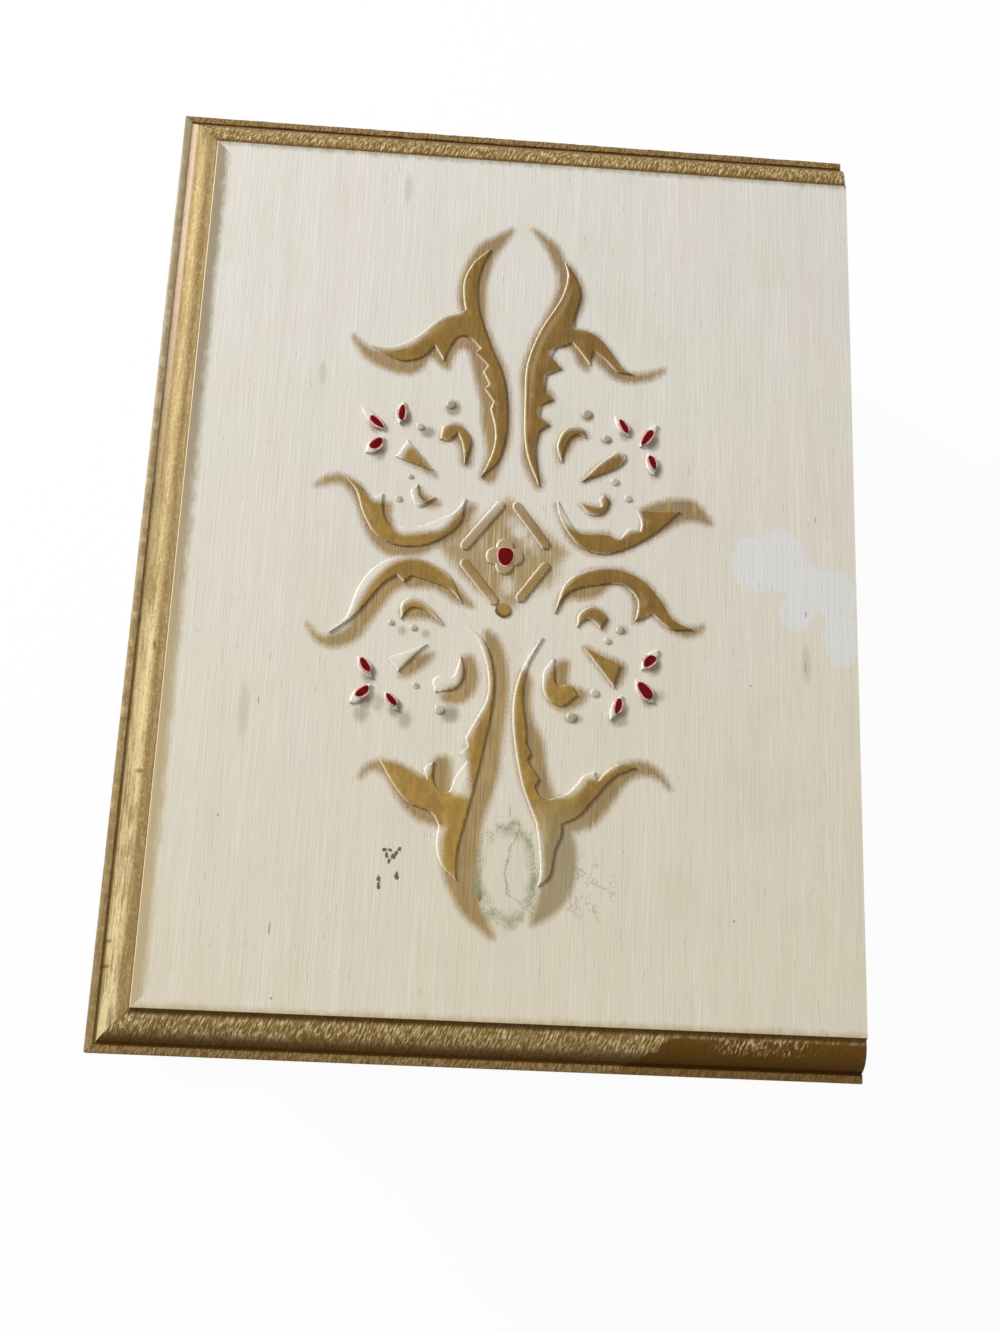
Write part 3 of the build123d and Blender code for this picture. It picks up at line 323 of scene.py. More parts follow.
# Where the gold was sprayed through stencils, a little off the raised shapes
gold_sprays = [
    [(-0.3, -95), (-4, -93), (-8.5, -90), (-11, -86), (-13, -81), (-14, -76), (-13.8, -72),
     (-13, -68.5), (-17, -67), (-20, -64.5), (-23, -61), (-26, -58.3), (-30, -56.6),
     (-34.5, -56.2), (-37.5, -57), (-41.3, -59.7), (-40, -57), (-38.5, -54.5), (-36, -52.5),
     (-32, -50.8), (-27, -50), (-23.5, -51), (-20.3, -54.8), (-16.2, -52), (-15, -55),
     (-14, -57.6), (-12, -58.5), (-10.5, -57.5), (-9.5, -54), (-8.5, -50), (-7.5, -46),
     (-6.5, -42), (-6.3, -38), (-5, -32), (-4.5, -28), (-6, -22), (-3, -20.7), (-1.5, -23.5),
     (0, -28), (1.2, -34), (1.4, -40), (0.8, -46), (0, -50), (-1, -54), (-3.5, -59),
     (-5, -63), (-6.3, -67), (-7, -77), (-6, -82), (-4.5, -87), (-2, -91)],
    [(5.3, -95.5), (9, -93.5), (12.5, -90.5), (14.5, -86.5), (17, -84), (19.2, -80), (20, -76),
     (19.3, -72), (17.4, -66.5), (20, -66), (23, -65), (26, -62.5), (28.5, -59), (31.5, -54.8),
     (36, -54.3), (42, -56), (39.5, -53.5), (36, -52), (32, -51.6), (28.5, -52.5),
     (25.5, -54.8), (22.5, -57.5), (21.4, -54.2), (19, -55.8), (17.5, -59), (16, -60.3),
     (13, -60), (11, -58), (14.5, -54.2), (10.5, -52), (10.3, -49), (12.8, -45), (9.2, -42.5),
     (8.8, -40), (11.8, -37.8), (9.5, -35), (8.5, -31), (9, -26), (10.3, -21.5), (9, -19.5),
     (6.5, -23.5), (5, -28), (4.8, -32), (4.5, -38), (4.3, -45), (3.8, -50), (4.2, -55),
     (6, -61), (8, -66), (10, -70.5), (12, -75), (12.8, -79), (12.3, -83), (10.5, -87.5),
     (8, -92)],
    [(-48.8, -16.6), (-46.5, -19), (-43, -20.2), (-40, -19.5), (-37, -17.5), (-34.5, -14.5),
     (-33, -13), (-29, -13), (-28.8, -10), (-27.5, -6), (-25.5, -4.5), (-22.5, -4.8),
     (-18.5, -5.5), (-15, -6.5), (-10.5, -12), (-8, -14.5), (-7, -13.5), (-8, -10), (-10, -6),
     (-13, -3.5), (-17, -1.5), (-20, 0.2), (-25, 1), (-29.5, 0.5), (-33.5, -3), (-36, -8),
     (-37.5, -12), (-40, -16), (-42.5, -18), (-45.5, -17.5)],
    [(14, -15.5), (16, -10.5), (19.5, -8.5), (24, -8), (28, -8.6), (29.3, -7), (31, -7),
     (33.5, -8.8), (36, -9.5), (36.5, -13), (36, -15.2), (38, -16.5), (42, -18), (46, -19),
     (50, -18.5), (53, -16), (55, -12.5), (50, -13.2), (46, -12), (42, -9.5), (38, -6.8),
     (34, -4.3), (30, -2.6), (26, -2.3), (22, -3), (18.5, -5), (16.5, -8), (14.8, -12)],
    [(-48, 20.5), (-45, 23.5), (-41.5, 23), (-38, 21), (-36.3, 17.5), (-34.5, 13), (-32, 8.5),
     (-29, 5), (-26.5, 3), (-22, 1.8), (-17.5, 3), (-14, 5.2), (-11, 8), (-8.5, 11),
     (-6.5, 13.5), (-11, 12.5), (-14, 10.5), (-17, 9.3), (-20.5, 9.3), (-25, 9.5),
     (-27.5, 11.5), (-30, 15.5), (-32.5, 19.5), (-34.5, 23), (-37, 25), (-40, 26.2),
     (-43, 26), (-46, 24)],
    [(15, 14), (15, 11), (16.5, 8), (19, 4.8), (23, 2.4), (28, 1.3), (31, 1.2), (34, 2),
     (38, 4.5), (42, 9), (44.5, 13), (47, 15), (50, 16), (53, 15.3), (52, 17), (49, 18.6),
     (46, 18), (43.5, 16.5), (41, 14.5), (39, 13), (37, 14.8), (34.8, 15.5), (34.8, 11),
     (33.5, 7.5), (31, 5.5), (28, 6.5), (26, 8.5), (22.5, 9.8), (19, 10), (17, 11)],
    [(-3, 20), (0, 21.5), (2, 26), (3, 32), (3, 38), (2.5, 44), (2, 50), (1.5, 56), (0.5, 60),
     (-0.5, 64), (-2, 70), (-2.5, 76), (-2.5, 84), (-1, 90), (2, 96.5), (-2, 94), (-5.5, 91),
     (-8, 87), (-10, 83), (-11, 79), (-11.5, 74), (-11, 70.8), (-14.5, 69.8), (-18, 68.5),
     (-21, 66), (-23, 63), (-25, 60), (-27, 57.5), (-29.5, 57), (-32.3, 59.2), (-31, 56),
     (-28, 54.8), (-24, 55), (-20, 56.6), (-17, 58.3), (-15, 57), (-14.5, 54), (-12, 52.8),
     (-10.5, 54), (-10.2, 58), (-10, 61.5), (-8, 62.5), (-5, 62.5), (-5.5, 55), (-6.3, 50),
     (-4, 44), (-2, 40), (-1.2, 35), (-1.5, 30), (-2.5, 25)],
    [(6.5, 30), (5.3, 35), (5, 43), (6, 51), (8, 60), (12.4, 70), (13.5, 76), (13.5, 83),
     (12, 89), (11.3, 93), (14, 92), (17, 89.5), (20, 86), (21.5, 81), (21.5, 75), (20.5, 70),
     (22, 70), (26, 68), (28.5, 65), (31, 61), (33.5, 57.5), (36, 55.5), (39, 55), (42, 56),
     (44.8, 58.2), (42, 54), (39.5, 52.3), (36, 51.6), (32, 52.8), (30, 54.3), (27.5, 55.8),
     (26, 57), (24, 57), (22, 59.5), (19, 61.6), (16, 61.5), (15, 59), (13.5, 54),
     (12.5, 48), (10, 43), (9, 38), (9, 32)],
    [(-16.8, -31.5), (-16, -35), (-12, -36), (-8.5, -32), (-8.6, -25), (-11, -25),
     (-11.5, -29), (-13, -31.5)],
    [(14.6, -27), (13.6, -31.5), (15.6, -36), (19.8, -37), (21.8, -35), (18.6, -33.6),
     (16.6, -30)],
    [(-13.5, 38), (-11.5, 35.5), (-9, 34), (-8.4, 28), (-6, 26.8), (-4.4, 32), (-6, 37),
     (-10, 39)],
    [(16, 27), (18.5, 27), (18.5, 32.5), (23, 34.5), (21.5, 38), (16.5, 39.5), (12.8, 35.5),
     (13.5, 30.5)],
    [(-22, -18), (-21.5, -14.5), (-19, -12.5), (-16, -13.6), (-18, -15), (-20, -16)],
    [(20.5, -15.8), (23.5, -13.2), (26.8, -13.4), (28.6, -17), (26.6, -18.8), (25.6, -15.6)],
    [(-24, 17.5), (-24, 14.5), (-21, 13), (-17, 15.5), (-14, 19), (-18, 17.5)],
    [(20.8, 16.6), (21.6, 13.6), (25, 12.2), (28.6, 15), (27.4, 18), (24, 15.5)],
    [(-26.3, -25.5), (-24.4, -28.8), (-21, -25.5), (-17.5, -21.3), (-22, -23.2)],
    [(20.8, -22.2), (25, -27), (30, -30.5), (31.5, -28.6), (28.5, -25.5)],
    [(-24, 32), (-20.5, 27.5), (-15.5, 26.5), (-18.5, 30.5), (-22.5, 33)],
    [(22.3, 22.8), (27, 24.5), (33, 27), (31.5, 32), (29.6, 32.4), (26, 28)],
]

# Ochre tint round the diamond, grey smudges with painted shade on the beads, and painted shade beside each
# petal:
# across, along, reach across, reach along and strength
tinted_field = [
    (-16, -1.5), (-6.5, -9.5), (1.4, -17), (8.8, -10.5), (18, -2.5), (12, 6.5), (3.5, 14), (-6, 9.5),
]
tint_spots = [
    (-5, 0, 9, 9, 0.75), (2, -9, 6.5, 7, 0.7), (9, 3, 9, 7, 0.7), (0, 6, 7, 8, 0.7),
    (13, -3, 6, 6, 0.4), (-11, -10, 3, 5, 0.35), (4, 26, 4, 9, 0.15),
]
bare_spots = [
    (3.0, -9.8, 2.8, 2.8, 0.5), (5.0, -7.4, 3.2, 3.2, 0.75), (7.4, -4.6, 2.8, 3.0, 0.6),
    (9, -2, 2.2, 2.2, 0.35),
    (2.2, 7.6, 2.4, 3.6, 0.65), (13.5, -12, 4, 4, 0.5), (-9, 10, 3, 4, 0.5),
]
smudge_and_shade_spots = [
    (-14, -40.9, 2.6, 2.8, 1.1), (-20.3, -33.5, 2.8, 2.2, 0.9), (-24, 21, 1.8, 1.8, 0.6),
    (-18, 21.5, 1.8, 1.8, 0.6), (-11, 42, 3.2, 3.0, 0.8), (20, 41.5, 3.2, 2, 0.8),
    (32, 17.8, 2.6, 2.1, 0.7), (21.6, -41, 2.2, 2.2, 1.0), (26.8, -34.4, 2.2, 2, 0.8),
    (-33, 43, 3, 3.4, 0.6), (-29, 40, 2.6, 3.4, 0.5), (-22, 44, 2.6, 3.4, 0.6),
    (-33.5, -25.5, 2, 3, 0.35), (41.5, 34.5, 3, 2.4, 0.5), (31.5, 41.5, 3.6, 2.2, 0.7),
    (35, -39, 2.5, 3, 0.3), (39.5, -24.5, 2, 2.2, 0.3), (-31, -34.5, 2, 2, 0.3),
]
# Grey smudge with painted shade on each bead
smudge_and_shade_spots += [
    (across, along, radius * 1.5, radius * 1.6, 0.55) for across, along, radius in beads
]
# Painted shade beside each petal, towards the back and the right end
smudge_and_shade_spots += [
    ((tip[0] + heel[0]) / 2 + 1.2, (tip[1] + heel[1]) / 2 + 1.9, 2.5, 3.0, 0.8) for tip, heel, width in petals
]

# Marks of age on the lid: along, across, reach along and reach across
touch_up_spots = [
    (-1.5, 66, 8, 6), (-3.5, 72.5, 8.5, 6.5), (4.5, 80, 6.5, 5.5), (5.5, 87, 7.2, 5.5),
    (17, 88.5, 7, 4.6), (10, 77, 5, 4.5),
]
yellowed_spots = [(60, 68, 9, 13), (80, 4, 17, 9), (40, 66, 7, 4)]
rubbed_spots = [
    (-105.6, -29.5, 4.5, 1.0), (-48.5, -48.9, 3.2, 0.9), (24, 79.5, 5, 1.2), (44, -62, 7, 1.2),
]
smear_spots = [(114.2, -54.5, 1.2, 2.4), (-60, -20, 2, 1.0)]
chip_spots = [
    (96.7, -51.4, 1.6, 0.22), (112.9, -49.7, 0.35, 0.35), (24.6, 79.2, 1.8, 0.14), (90, 60.6, 0.3, 0.3),
    (10.6, 79.6, 0.8, 0.22), (-15.6, 82.5, 0.8, 0.18), (30.5, 65, 0.3, 0.3), (70, -66, 0.45, 0.22),
    (41, -58.5, 1.1, 0.16), (66, 5, 1.3, 0.14), (85, 4.8, 1.6, 0.15),
]
deep_chip_spots = [
    (76.6, -25.2, 0.5, 0.6), (77.9, -24.6, 0.7, 0.4), (79.2, -23.9, 0.7, 0.4), (76.6, -23.9, 0.4, 0.6),
    (78.1, -23.0, 0.8, 0.6), (77.3, -22.3, 0.6, 0.5), (76.3, -21.6, 0.5, 0.5), (82.8, -21.9, 1.0, 0.5),
    (83.7, -26.2, 0.8, 0.5), (85.4, -26.1, 0.9, 0.4), (86.7, -1.7, 1.4, 0.6),
]
nick_spots = [
    (101, -89.6, 0.4, 1.3), (107, -89.9, 0.45, 1.5), (60, -86, 0.6, 1.0), (28, -85.5, 1.1, 0.5),
]
ring_outside = [(81, 4.6, 13, 8)]
ring_inside = [(81, 4.6, 10.2, 5.6)]
cracked_spots = [(84, 24, 8, 8)]
faded_spots = [(80, 17, 14, 9)]

# Course of the long crack in the ring, as points along the lid and across it
crack_path = [(70.0, 7.3), (75.9, 5.2), (80.3, 4.2), (85.7, 5.4), (88.3, 8.5), (90.5, 11.3)]


def along_curve(points, closed=False, spacing=0.6):
    """Evenly stepped points on a smooth curve through the given ones, without the last."""
    known = [np.array(point, float) for point in points]
    count = len(known)
    if count == 2:
        steps = max(1, round(float(np.linalg.norm(known[1] - known[0])) / spacing))
        return [known[0] + (known[1] - known[0]) * step / steps for step in range(steps)]
    line = []
    for index in range(count if closed else count - 1):
        if closed:
            before, start, end, after = (known[(index + shift) % count] for shift in (-1, 0, 1, 2))
        else:
            start, end = known[index], known[index + 1]
            before = known[index - 1] if index else 2 * start - end
            after = known[index + 2] if index + 2 < count else 2 * end - start
        steps = max(1, round(float(np.linalg.norm(end - start)) / spacing))
        for step in range(steps):
            t = step / steps
            line.append(
                0.5 * (2 * start + (end - before) * t
                       + (2 * before - 5 * start + 4 * end - after) * t ** 2
                       + (3 * start - before - 3 * end + after) * t ** 3)
            )
    return line


def outline_of(stretches):
    """The closed outline of a raised shape, as points across and along in millimetres."""
    line = []
    for stretch in stretches:
        line += along_curve(stretch)
    return np.array(line)


def depth_inside(points, outline):
    """How far points lie inside an outline, negative outside, all in millimetres."""
    start = outline
    end = np.roll(outline, -1, axis=0)
    side = end - start
    length = np.maximum((side ** 2).sum(1), 1e-9)
    depth = np.empty(len(points))
    for low in range(0, len(points), 4000):
        spot = points[low:low + 4000, None, :]
        share = np.clip(((spot - start) * side).sum(2) / length, 0, 1)
        gap = spot - (start + share[..., None] * side)
        nearest = np.sqrt((gap ** 2).sum(2)).min(1)
        above = (start[:, 1] > spot[..., 1]) != (end[:, 1] > spot[..., 1])
        rise = np.where(np.abs(side[:, 1]) < 1e-9, 1e-9, side[:, 1])
        crossing = start[:, 0] + (spot[..., 1] - start[:, 1]) / rise * side[:, 0]
        inside = (above & (spot[..., 0] < crossing)).sum(1) % 2 == 1
        depth[low:low + 4000] = np.where(inside, nearest, -nearest)
    return depth


def depth_nearby(points, outline, reach):
    """depth_inside, worked out only for the points within reach of the outline."""
    depth = np.full(len(points), -reach)
    low, high = outline.min(0) - reach, outline.max(0) + reach
    near = ((points > low) & (points < high)).all(1)
    if near.any():
        depth[near] = depth_inside(points[near], outline)
    return depth


def soft_step(value, low, high):
    """0 below low, 1 above high and a smooth rise between."""
    t = np.clip((value - low) / (high - low), 0, 1)
    return t * t * (3 - 2 * t)


def soft_spots(points, spots):
    """The strongest of several soft round spots at each point."""
    strength = np.zeros(len(points))
    for across, along, reach_across, reach_along, most in spots:
        far = np.hypot((points[:, 0] - across) / reach_across, (points[:, 1] - along) / reach_along)
        strength = np.maximum(strength, most * (1 - soft_step(far, 0.25, 1.25)))
    return strength


gold_lines = [np.array(along_curve(spray, closed=True, spacing=1.0)) for spray in gold_sprays]


def paint_masks(mesh, gilding=0.0, rim_light_share=1.0):
    """Stores how much gold, tint and smudge with painted shade a point has, and the painted highlight and
    painted shade on its rims.
    """
    count = len(mesh.vertices)
    place, facing = np.empty(count * 3), np.empty(count * 3)
    mesh.vertices.foreach_get("co", place)
    mesh.vertices.foreach_get("normal", facing)
    place, facing = place.reshape(-1, 3) / mm, facing.reshape(-1, 3)
    points = np.ascontiguousarray(place[:, 1::-1])
    on_top = place[:, 2] > lid_face / mm - 0.5
    gold = np.zeros(count)
    for line in gold_lines:
        depth = depth_nearby(points, line, 3.0)
        gold = np.maximum(gold, np.clip((depth + 1.9) / 3.0, 0, 1))
    pale_bar = (points[:, 0] < 0.5) & (points[:, 1] < 0)
    gold = np.maximum(gold, np.where(pale_bar, 0, gilding))
    field = depth_nearby(points, np.array(tinted_field, float), 3.0)
    tint = np.maximum(soft_spots(points, tint_spots), soft_step(field, -3.0, 3.4) * 0.9)
    tint *= 1 - soft_spots(points, bare_spots)
    smudge_and_shade = soft_spots(points, smudge_and_shade_spots)
    proud = place[:, 2] > lid_face / mm + 0.1
    # Rims that face the front, towards the window lamp, get a painted highlight; rims that face away get
    # painted shade
    lean = -(facing[:, 0] * 0.2 + facing[:, 1] * 0.98) * 1.5
    rubbed_and_highlit = np.where(proud, np.clip((lean - 0.1) * 1.6, 0, 1), 0) * rim_light_share
    shaded_rim = np.where(proud, np.clip(-lean - 0.12, 0, 1), 0) * rim_light_share
    for name, mask in (("gold", gold), ("tint", tint), ("smudge_and_shade", smudge_and_shade),
                       ("rubbed_and_highlit", rubbed_and_highlit), ("shaded_rim", shaded_rim)):
        layer = mesh.attributes.new(name, "FLOAT", "POINT")
        layer.data.foreach_set("value", np.where(on_top, mask, 0.0).astype(np.float32))


def arc_through(start, middle, end, steps):
    """Points on the round arc from start to end, through middle, without the start."""
    (ax, ay), (bx, by), (cx, cy) = start, middle, end
    a, b, c = ax ** 2 + ay ** 2, bx ** 2 + by ** 2, cx ** 2 + cy ** 2
    twice = 2 * (ax * (by - cy) + bx * (cy - ay) + cx * (ay - by))
    x = (a * (by - cy) + b * (cy - ay) + c * (ay - by)) / twice
    y = (a * (cx - bx) + b * (ax - cx) + c * (bx - ax)) / twice
    first = math.atan2(ay - y, ax - x)
    turn = (math.atan2(cy - y, cx - x) - first + math.pi) % (2 * math.pi) - math.pi
    radius = math.hypot(ax - x, ay - y)
    angles = [first + turn * step / steps for step in range(1, steps + 1)]
    return [(x + radius * math.cos(angle), y + radius * math.sin(angle)) for angle in angles]


def moulding_steps():
    """Steps of the moulding outwards and down from the crest of the flat face."""
    start = (step_run, step_drop)
    end = (step_run + round_run, step_drop + round_drop)
    shoulder = (
        step_run + round_run * shoulder_run_share,
        step_drop + round_drop * shoulder_drop_share,
    )
    soft = 0.12 * mm
    groove_far = end[0] + groove_width
    lip = moulding_width - lip_round
    steps = [(soft, soft), (step_run - soft / 2, step_drop - soft), (step_run + soft, step_drop)]
    steps += arc_through(start, shoulder, end, 12)[1:]
    steps += [(end[0] + soft / 2, end[1] + groove_depth), (groove_far - soft, end[1] + groove_depth)]
    steps += [(groove_far, end[1] + soft), (groove_far + soft, end[1])]
    steps += [(lip, end[1]), (lip + lip_round * 0.7, end[1] + lip_round * 0.3)]
    steps += [(moulding_width, end[1] + lip_round)]
    return steps


def fine_lines(low, high, fine_low, fine_high, fine, coarse):
    """Grid lines from low to high, close together between fine_low and fine_high."""
    lines = []
    for start, end, pitch in (
        (low, fine_low, coarse), (fine_low, fine_high, fine), (fine_high, high, coarse)
    ):
        count = max(1, round((end - start) / pitch))
        lines += [start + (end - start) * step / count for step in range(count)]
    return lines + [high]


def moulded_board(low, high, lines_x, lines_y):
    """One board, moulded along its front and both ends and square at the back."""
    mesh = bmesh.new()
    bmesh.ops.create_grid(mesh, x_segments=len(lines_x) - 1, y_segments=len(lines_y) - 1, size=1)
    for vert in mesh.verts:
        column = round((vert.co.x + 1) / 2 * (len(lines_x) - 1))
        row = round((vert.co.y + 1) / 2 * (len(lines_y) - 1))
        vert.co = (lines_x[column], lines_y[row], high.z)
    chain = [
        edge for edge in mesh.edges
        if edge.is_boundary and not all(vert.co.y > high.y - join_gap for vert in edge.verts)
    ]
    end_x, front_y, out = high.x - moulding_width, low.y + moulding_width, 0
    for next_out, drop in moulding_steps() + [(moulding_width, high.z - low.z)]:
        grown = bmesh.ops.extrude_edge_only(mesh, edges=chain)["geom"]
        chain = [item for item in grown if isinstance(item, bmesh.types.BMEdge)]
        for vert in [item for item in grown if isinstance(item, bmesh.types.BMVert)]:
            if abs(vert.co.x) > end_x + out - join_gap:
                vert.co.x += math.copysign(next_out - out, vert.co.x)
            if vert.co.y < front_y - out + join_gap:
                vert.co.y -= next_out - out
            vert.co.z = high.z - drop
        out = next_out
    feet = [vert for edge in chain for vert in edge.verts if vert.co.y > high.y - join_gap]
    back_foot = mesh.edges.new(set(feet))
    bmesh.ops.contextual_create(mesh, geom=chain + [back_foot])
    bmesh.ops.contextual_create(mesh, geom=[edge for edge in mesh.edges if edge.is_boundary])
    corner_edges = [
        edge for edge in mesh.edges
        if all(abs(vert.co.x) > high.x - join_gap and vert.co.y < low.y + join_gap
               for vert in edge.verts)
    ]
    rounded(mesh, corner_edges, corner_round, 3)
    bmesh.ops.recalc_face_normals(mesh, faces=mesh.faces[:])
    return mesh


def rough_lips(mesh, low, high, amount):
    """Small nicks and waves along the lips of a moulding."""
    lip_top = high.z - step_drop - round_drop
    for vert in mesh.verts:
        out = moulding_width - min(high.x - abs(vert.co.x), vert.co.y - low.y)
        if out > step_run + round_run + groove_width and vert.co.z > lip_top - 3 * mm:
            wave = noise.noise(vert.co * 420) + 0.6 * noise.noise(vert.co * 1300)
            vert.co.z += amount * wave


def cut_out(piece, blocks):
    """Takes blocks, each turned about Z by an angle, out of a piece with a boolean."""
    cutter_mesh = bmesh.new()
    for low, high, turn in blocks:
        corner_verts = block(low, high, cutter_mesh)[1]
        bmesh.ops.rotate(cutter_mesh, cent=(low + high) / 2, matrix=Matrix.Rotation(turn, 3, "Z"),
                         verts=corner_verts)
    cutter = in_scene("cutter", mesh_data("cutter", cutter_mesh))
    cut = piece.modifiers.new("recess", "BOOLEAN")
    cut.object = cutter
    cut.operation = "DIFFERENCE"
    cut.solver = "EXACT"
    with_cut = bpy.data.meshes.new_from_object(evaluated(piece))
    piece.modifiers.clear()
    piece.data = with_cut
    bpy.data.objects.remove(cutter)


def rounded_lens(tip, heel, width):
    """A pointed petal between two points, as an outline."""
    start, end = np.array(tip, float), np.array(heel, float)
    side = np.array([-(end - start)[1], (end - start)[0]])
    side = side / np.linalg.norm(side) * width / 2
    middle = (start + end) / 2
    there = [tuple(start)] + arc_through(start, middle + side, end, 9)
    back = arc_through(end, middle - side, start, 9)[:-1]
    return np.array(there + back)


def oval(tip, heel, width):
    """A stroke of enamel between two points, fuller than a petal."""
    start, end = np.array(tip, float), np.array(heel, float)
    half = (end - start) / 2
    side = np.array([-half[1], half[0]]) / np.linalg.norm(half) * width / 2
    turns = np.linspace(0, 2 * math.pi, 20, endpoint=False)
    wobble = 1 + 0.06 * np.sin(3 * turns + start[0])
    reach = np.sign(np.cos(turns)) * np.abs(np.cos(turns)) ** 0.8
    rows = (start + end) / 2 + half * (reach * wobble)[:, None]
    return rows + side * (np.sin(turns) * wobble)[:, None]


def bar_outline(start_point, end_point, width):
    """A straight bar with round ends."""
    start, end = np.array(start_point, float), np.array(end_point, float)
    way = (end - start) / np.linalg.norm(end - start)
    side = np.array([-way[1], way[0]])
    radius = width / 2
    first, last = start + way * radius, end - way * radius
    turns = np.linspace(0, math.pi, 9)[:-1]
    end_round = [radius * (side * math.cos(turn) + way * math.sin(turn)) for turn in turns]
    line = along_curve([first + side * radius, last + side * radius])
    line += [last + point for point in end_round]
    line += along_curve([last - side * radius, first - side * radius])
    line += [first - point for point in end_round]
    return np.array(line)


def flower_outline():
    """Four round lobes about the flower's centre."""
    rows = []
    for turn in np.linspace(0, 2 * math.pi, 72, endpoint=False):
        lean = (turn + math.pi / 4) % (math.pi / 2) - math.pi / 4
        across = flower_lobe_reach * math.sin(lean)
        reach = flower_lobe_reach * math.cos(lean) + math.sqrt(flower_lobe_radius ** 2 - across ** 2)
        rows.append((flower_centre[0] + reach * math.cos(turn),
                     flower_centre[1] + reach * math.sin(turn)))
    return np.array(rows)


def ring(centre, radius, count=24):
    """A round outline, slightly uneven as painted by hand."""
    turns = np.linspace(0, 2 * math.pi, count, endpoint=False)
    reach = radius * (1 + 0.05 * np.sin(2 * turns + 1) + 0.03 * np.sin(5 * turns))
    return np.stack([centre[0] + reach * np.cos(turns), centre[1] + reach * np.sin(turns)], 1)


def safe_inset(outline, edge):
    """How far each point of an outline may move inwards, less where the shape is narrow."""
    way = np.roll(outline, -1, axis=0) - np.roll(outline, 1, axis=0)
    inward = np.stack([-way[:, 1], way[:, 0]], 1)
    inward /= np.maximum(np.linalg.norm(inward, axis=1), 1e-9)[:, None]
    if (depth_inside(outline + inward * 0.02, outline) > 0).mean() < 0.5:
        inward = -inward
    room = np.full(len(outline), 0.03)
    for reach in np.linspace(0.08, edge, 6):
        room = np.where(depth_inside(outline + inward * reach, outline) > reach * 0.85, reach, room)
    room = np.minimum(room, (np.roll(room, 1) + room + np.roll(room, -1)) / 3)
    return inward * room[:, None]


def raised_shape(outline, low, height, edge, swell, pitch):
    """One raised shape with rounded edges and a slightly swollen top, cut into small cells."""
    inset = safe_inset(outline, edge / mm)
    mesh = bmesh.new()
    rim = [mesh.verts.new((along * mm, across * mm, low)) for across, along in outline]
    face = mesh.faces.new(rim)
    for share_in, share_up in ((0, 0.4), (0.14, 0.72), (0.48, 0.93), (1, 1)):
        order = {tuple(np.round(vert.co, 8)): index for index, vert in enumerate(rim)}
        grown = bmesh.ops.extrude_face_region(mesh, geom=[face])["geom"]
        face = [item for item in grown if isinstance(item, bmesh.types.BMFace)][0]
        rim = sorted(face.verts, key=lambda vert: order[tuple(np.round(vert.co, 8))])
        for vert, spot, push in zip(rim, outline, inset):
            across, along = spot + push * share_in
            vert.co = (along * mm, across * mm, low + height * share_up)
    bounds_low, bounds_high = outline.min(0) * mm, outline.max(0) * mm
    for axis, start, end in ((1, bounds_low[0], bounds_high[0]), (0, bounds_low[1], bounds_high[1])):
        normal = Vector((1, 0, 0)) if axis == 0 else Vector((0, 1, 0))
        for step in range(math.ceil(start / pitch), math.floor(end / pitch) + 1):
            faces = [item for item in mesh.faces if item.calc_center_median().z > low + height / 9]
            edges = list({item for each in faces for item in each.edges})
            verts = list({item for each in faces for item in each.verts})
            bmesh.ops.bisect_plane(
                mesh, geom=verts + edges + faces, dist=tiny_gap,
                plane_co=normal * (step + 0.37) * pitch, plane_no=normal,
            )
    tops = [vert for vert in mesh.verts if vert.co.z > low + height * 0.99]
    if swell and tops:
        points = np.array([(vert.co.y / mm, vert.co.x / mm) for vert in tops])
        rise = soft_step(depth_inside(points, outline), edge / mm, 4 * edge / mm) * swell
        for vert, lift in zip(tops, rise):
            vert.co.z += lift
    bmesh.ops.recalc_face_normals(mesh, faces=mesh.faces[:])
    return mesh


def raised_shapes(outlines, low, height, edge, swell, pitch):
    """Several raised shapes in one mesh."""
    whole = bmesh.new()
    for outline in outlines:
        single = mesh_data("shape", raised_shape(outline, low, height, edge, swell, pitch))
        whole.from_mesh(single)
        bpy.data.meshes.remove(single)
    return whole


def merged_copy(node):
    """A bmesh copy of a CAD node's mesh, with its loose triangles joined."""
    mesh = bmesh.new()
    mesh.from_mesh(frame["nodes"][node].data)
    bmesh.ops.remove_doubles(mesh, verts=mesh.verts, dist=join_gap)
    return mesh


def softened(name, node, body, finish, slot_name, width):
    """A copy of a CAD node with its edges rounded, which stands for it."""
    mesh = merged_copy(node)
    bmesh.ops.dissolve_limit(mesh, angle_limit=math.radians(1), verts=mesh.verts, edges=mesh.edges)
    sharp = [edge for edge in mesh.edges
             if len(edge.link_faces) == 2 and edge.calc_face_angle() > math.radians(30)]
    rounded(mesh, sharp, width, 2, clamp=True)
    return finished(name, mesh, body, finish, slot_name, node)


def covered_card(low, high, pitch, round_edge, unevenness):
    """A card covered in cloth: rounded edges and a slightly uneven face, inside its box."""
    mesh, _ = block(low, high)
    rounded(mesh, mesh.edges[:], round_edge, 3)
    for axis in range(3):
        count = int((high[axis] - low[axis]) / pitch)
        sliced(mesh, axis, [low + (high - low) * step / count for step in range(1, count)])
    mesh.normal_update()
    for vert in mesh.verts:
        dent = (noise.noise(vert.co * 70) + 1) / 2
        vert.co -= vert.normal * dent * unevenness
    return mesh


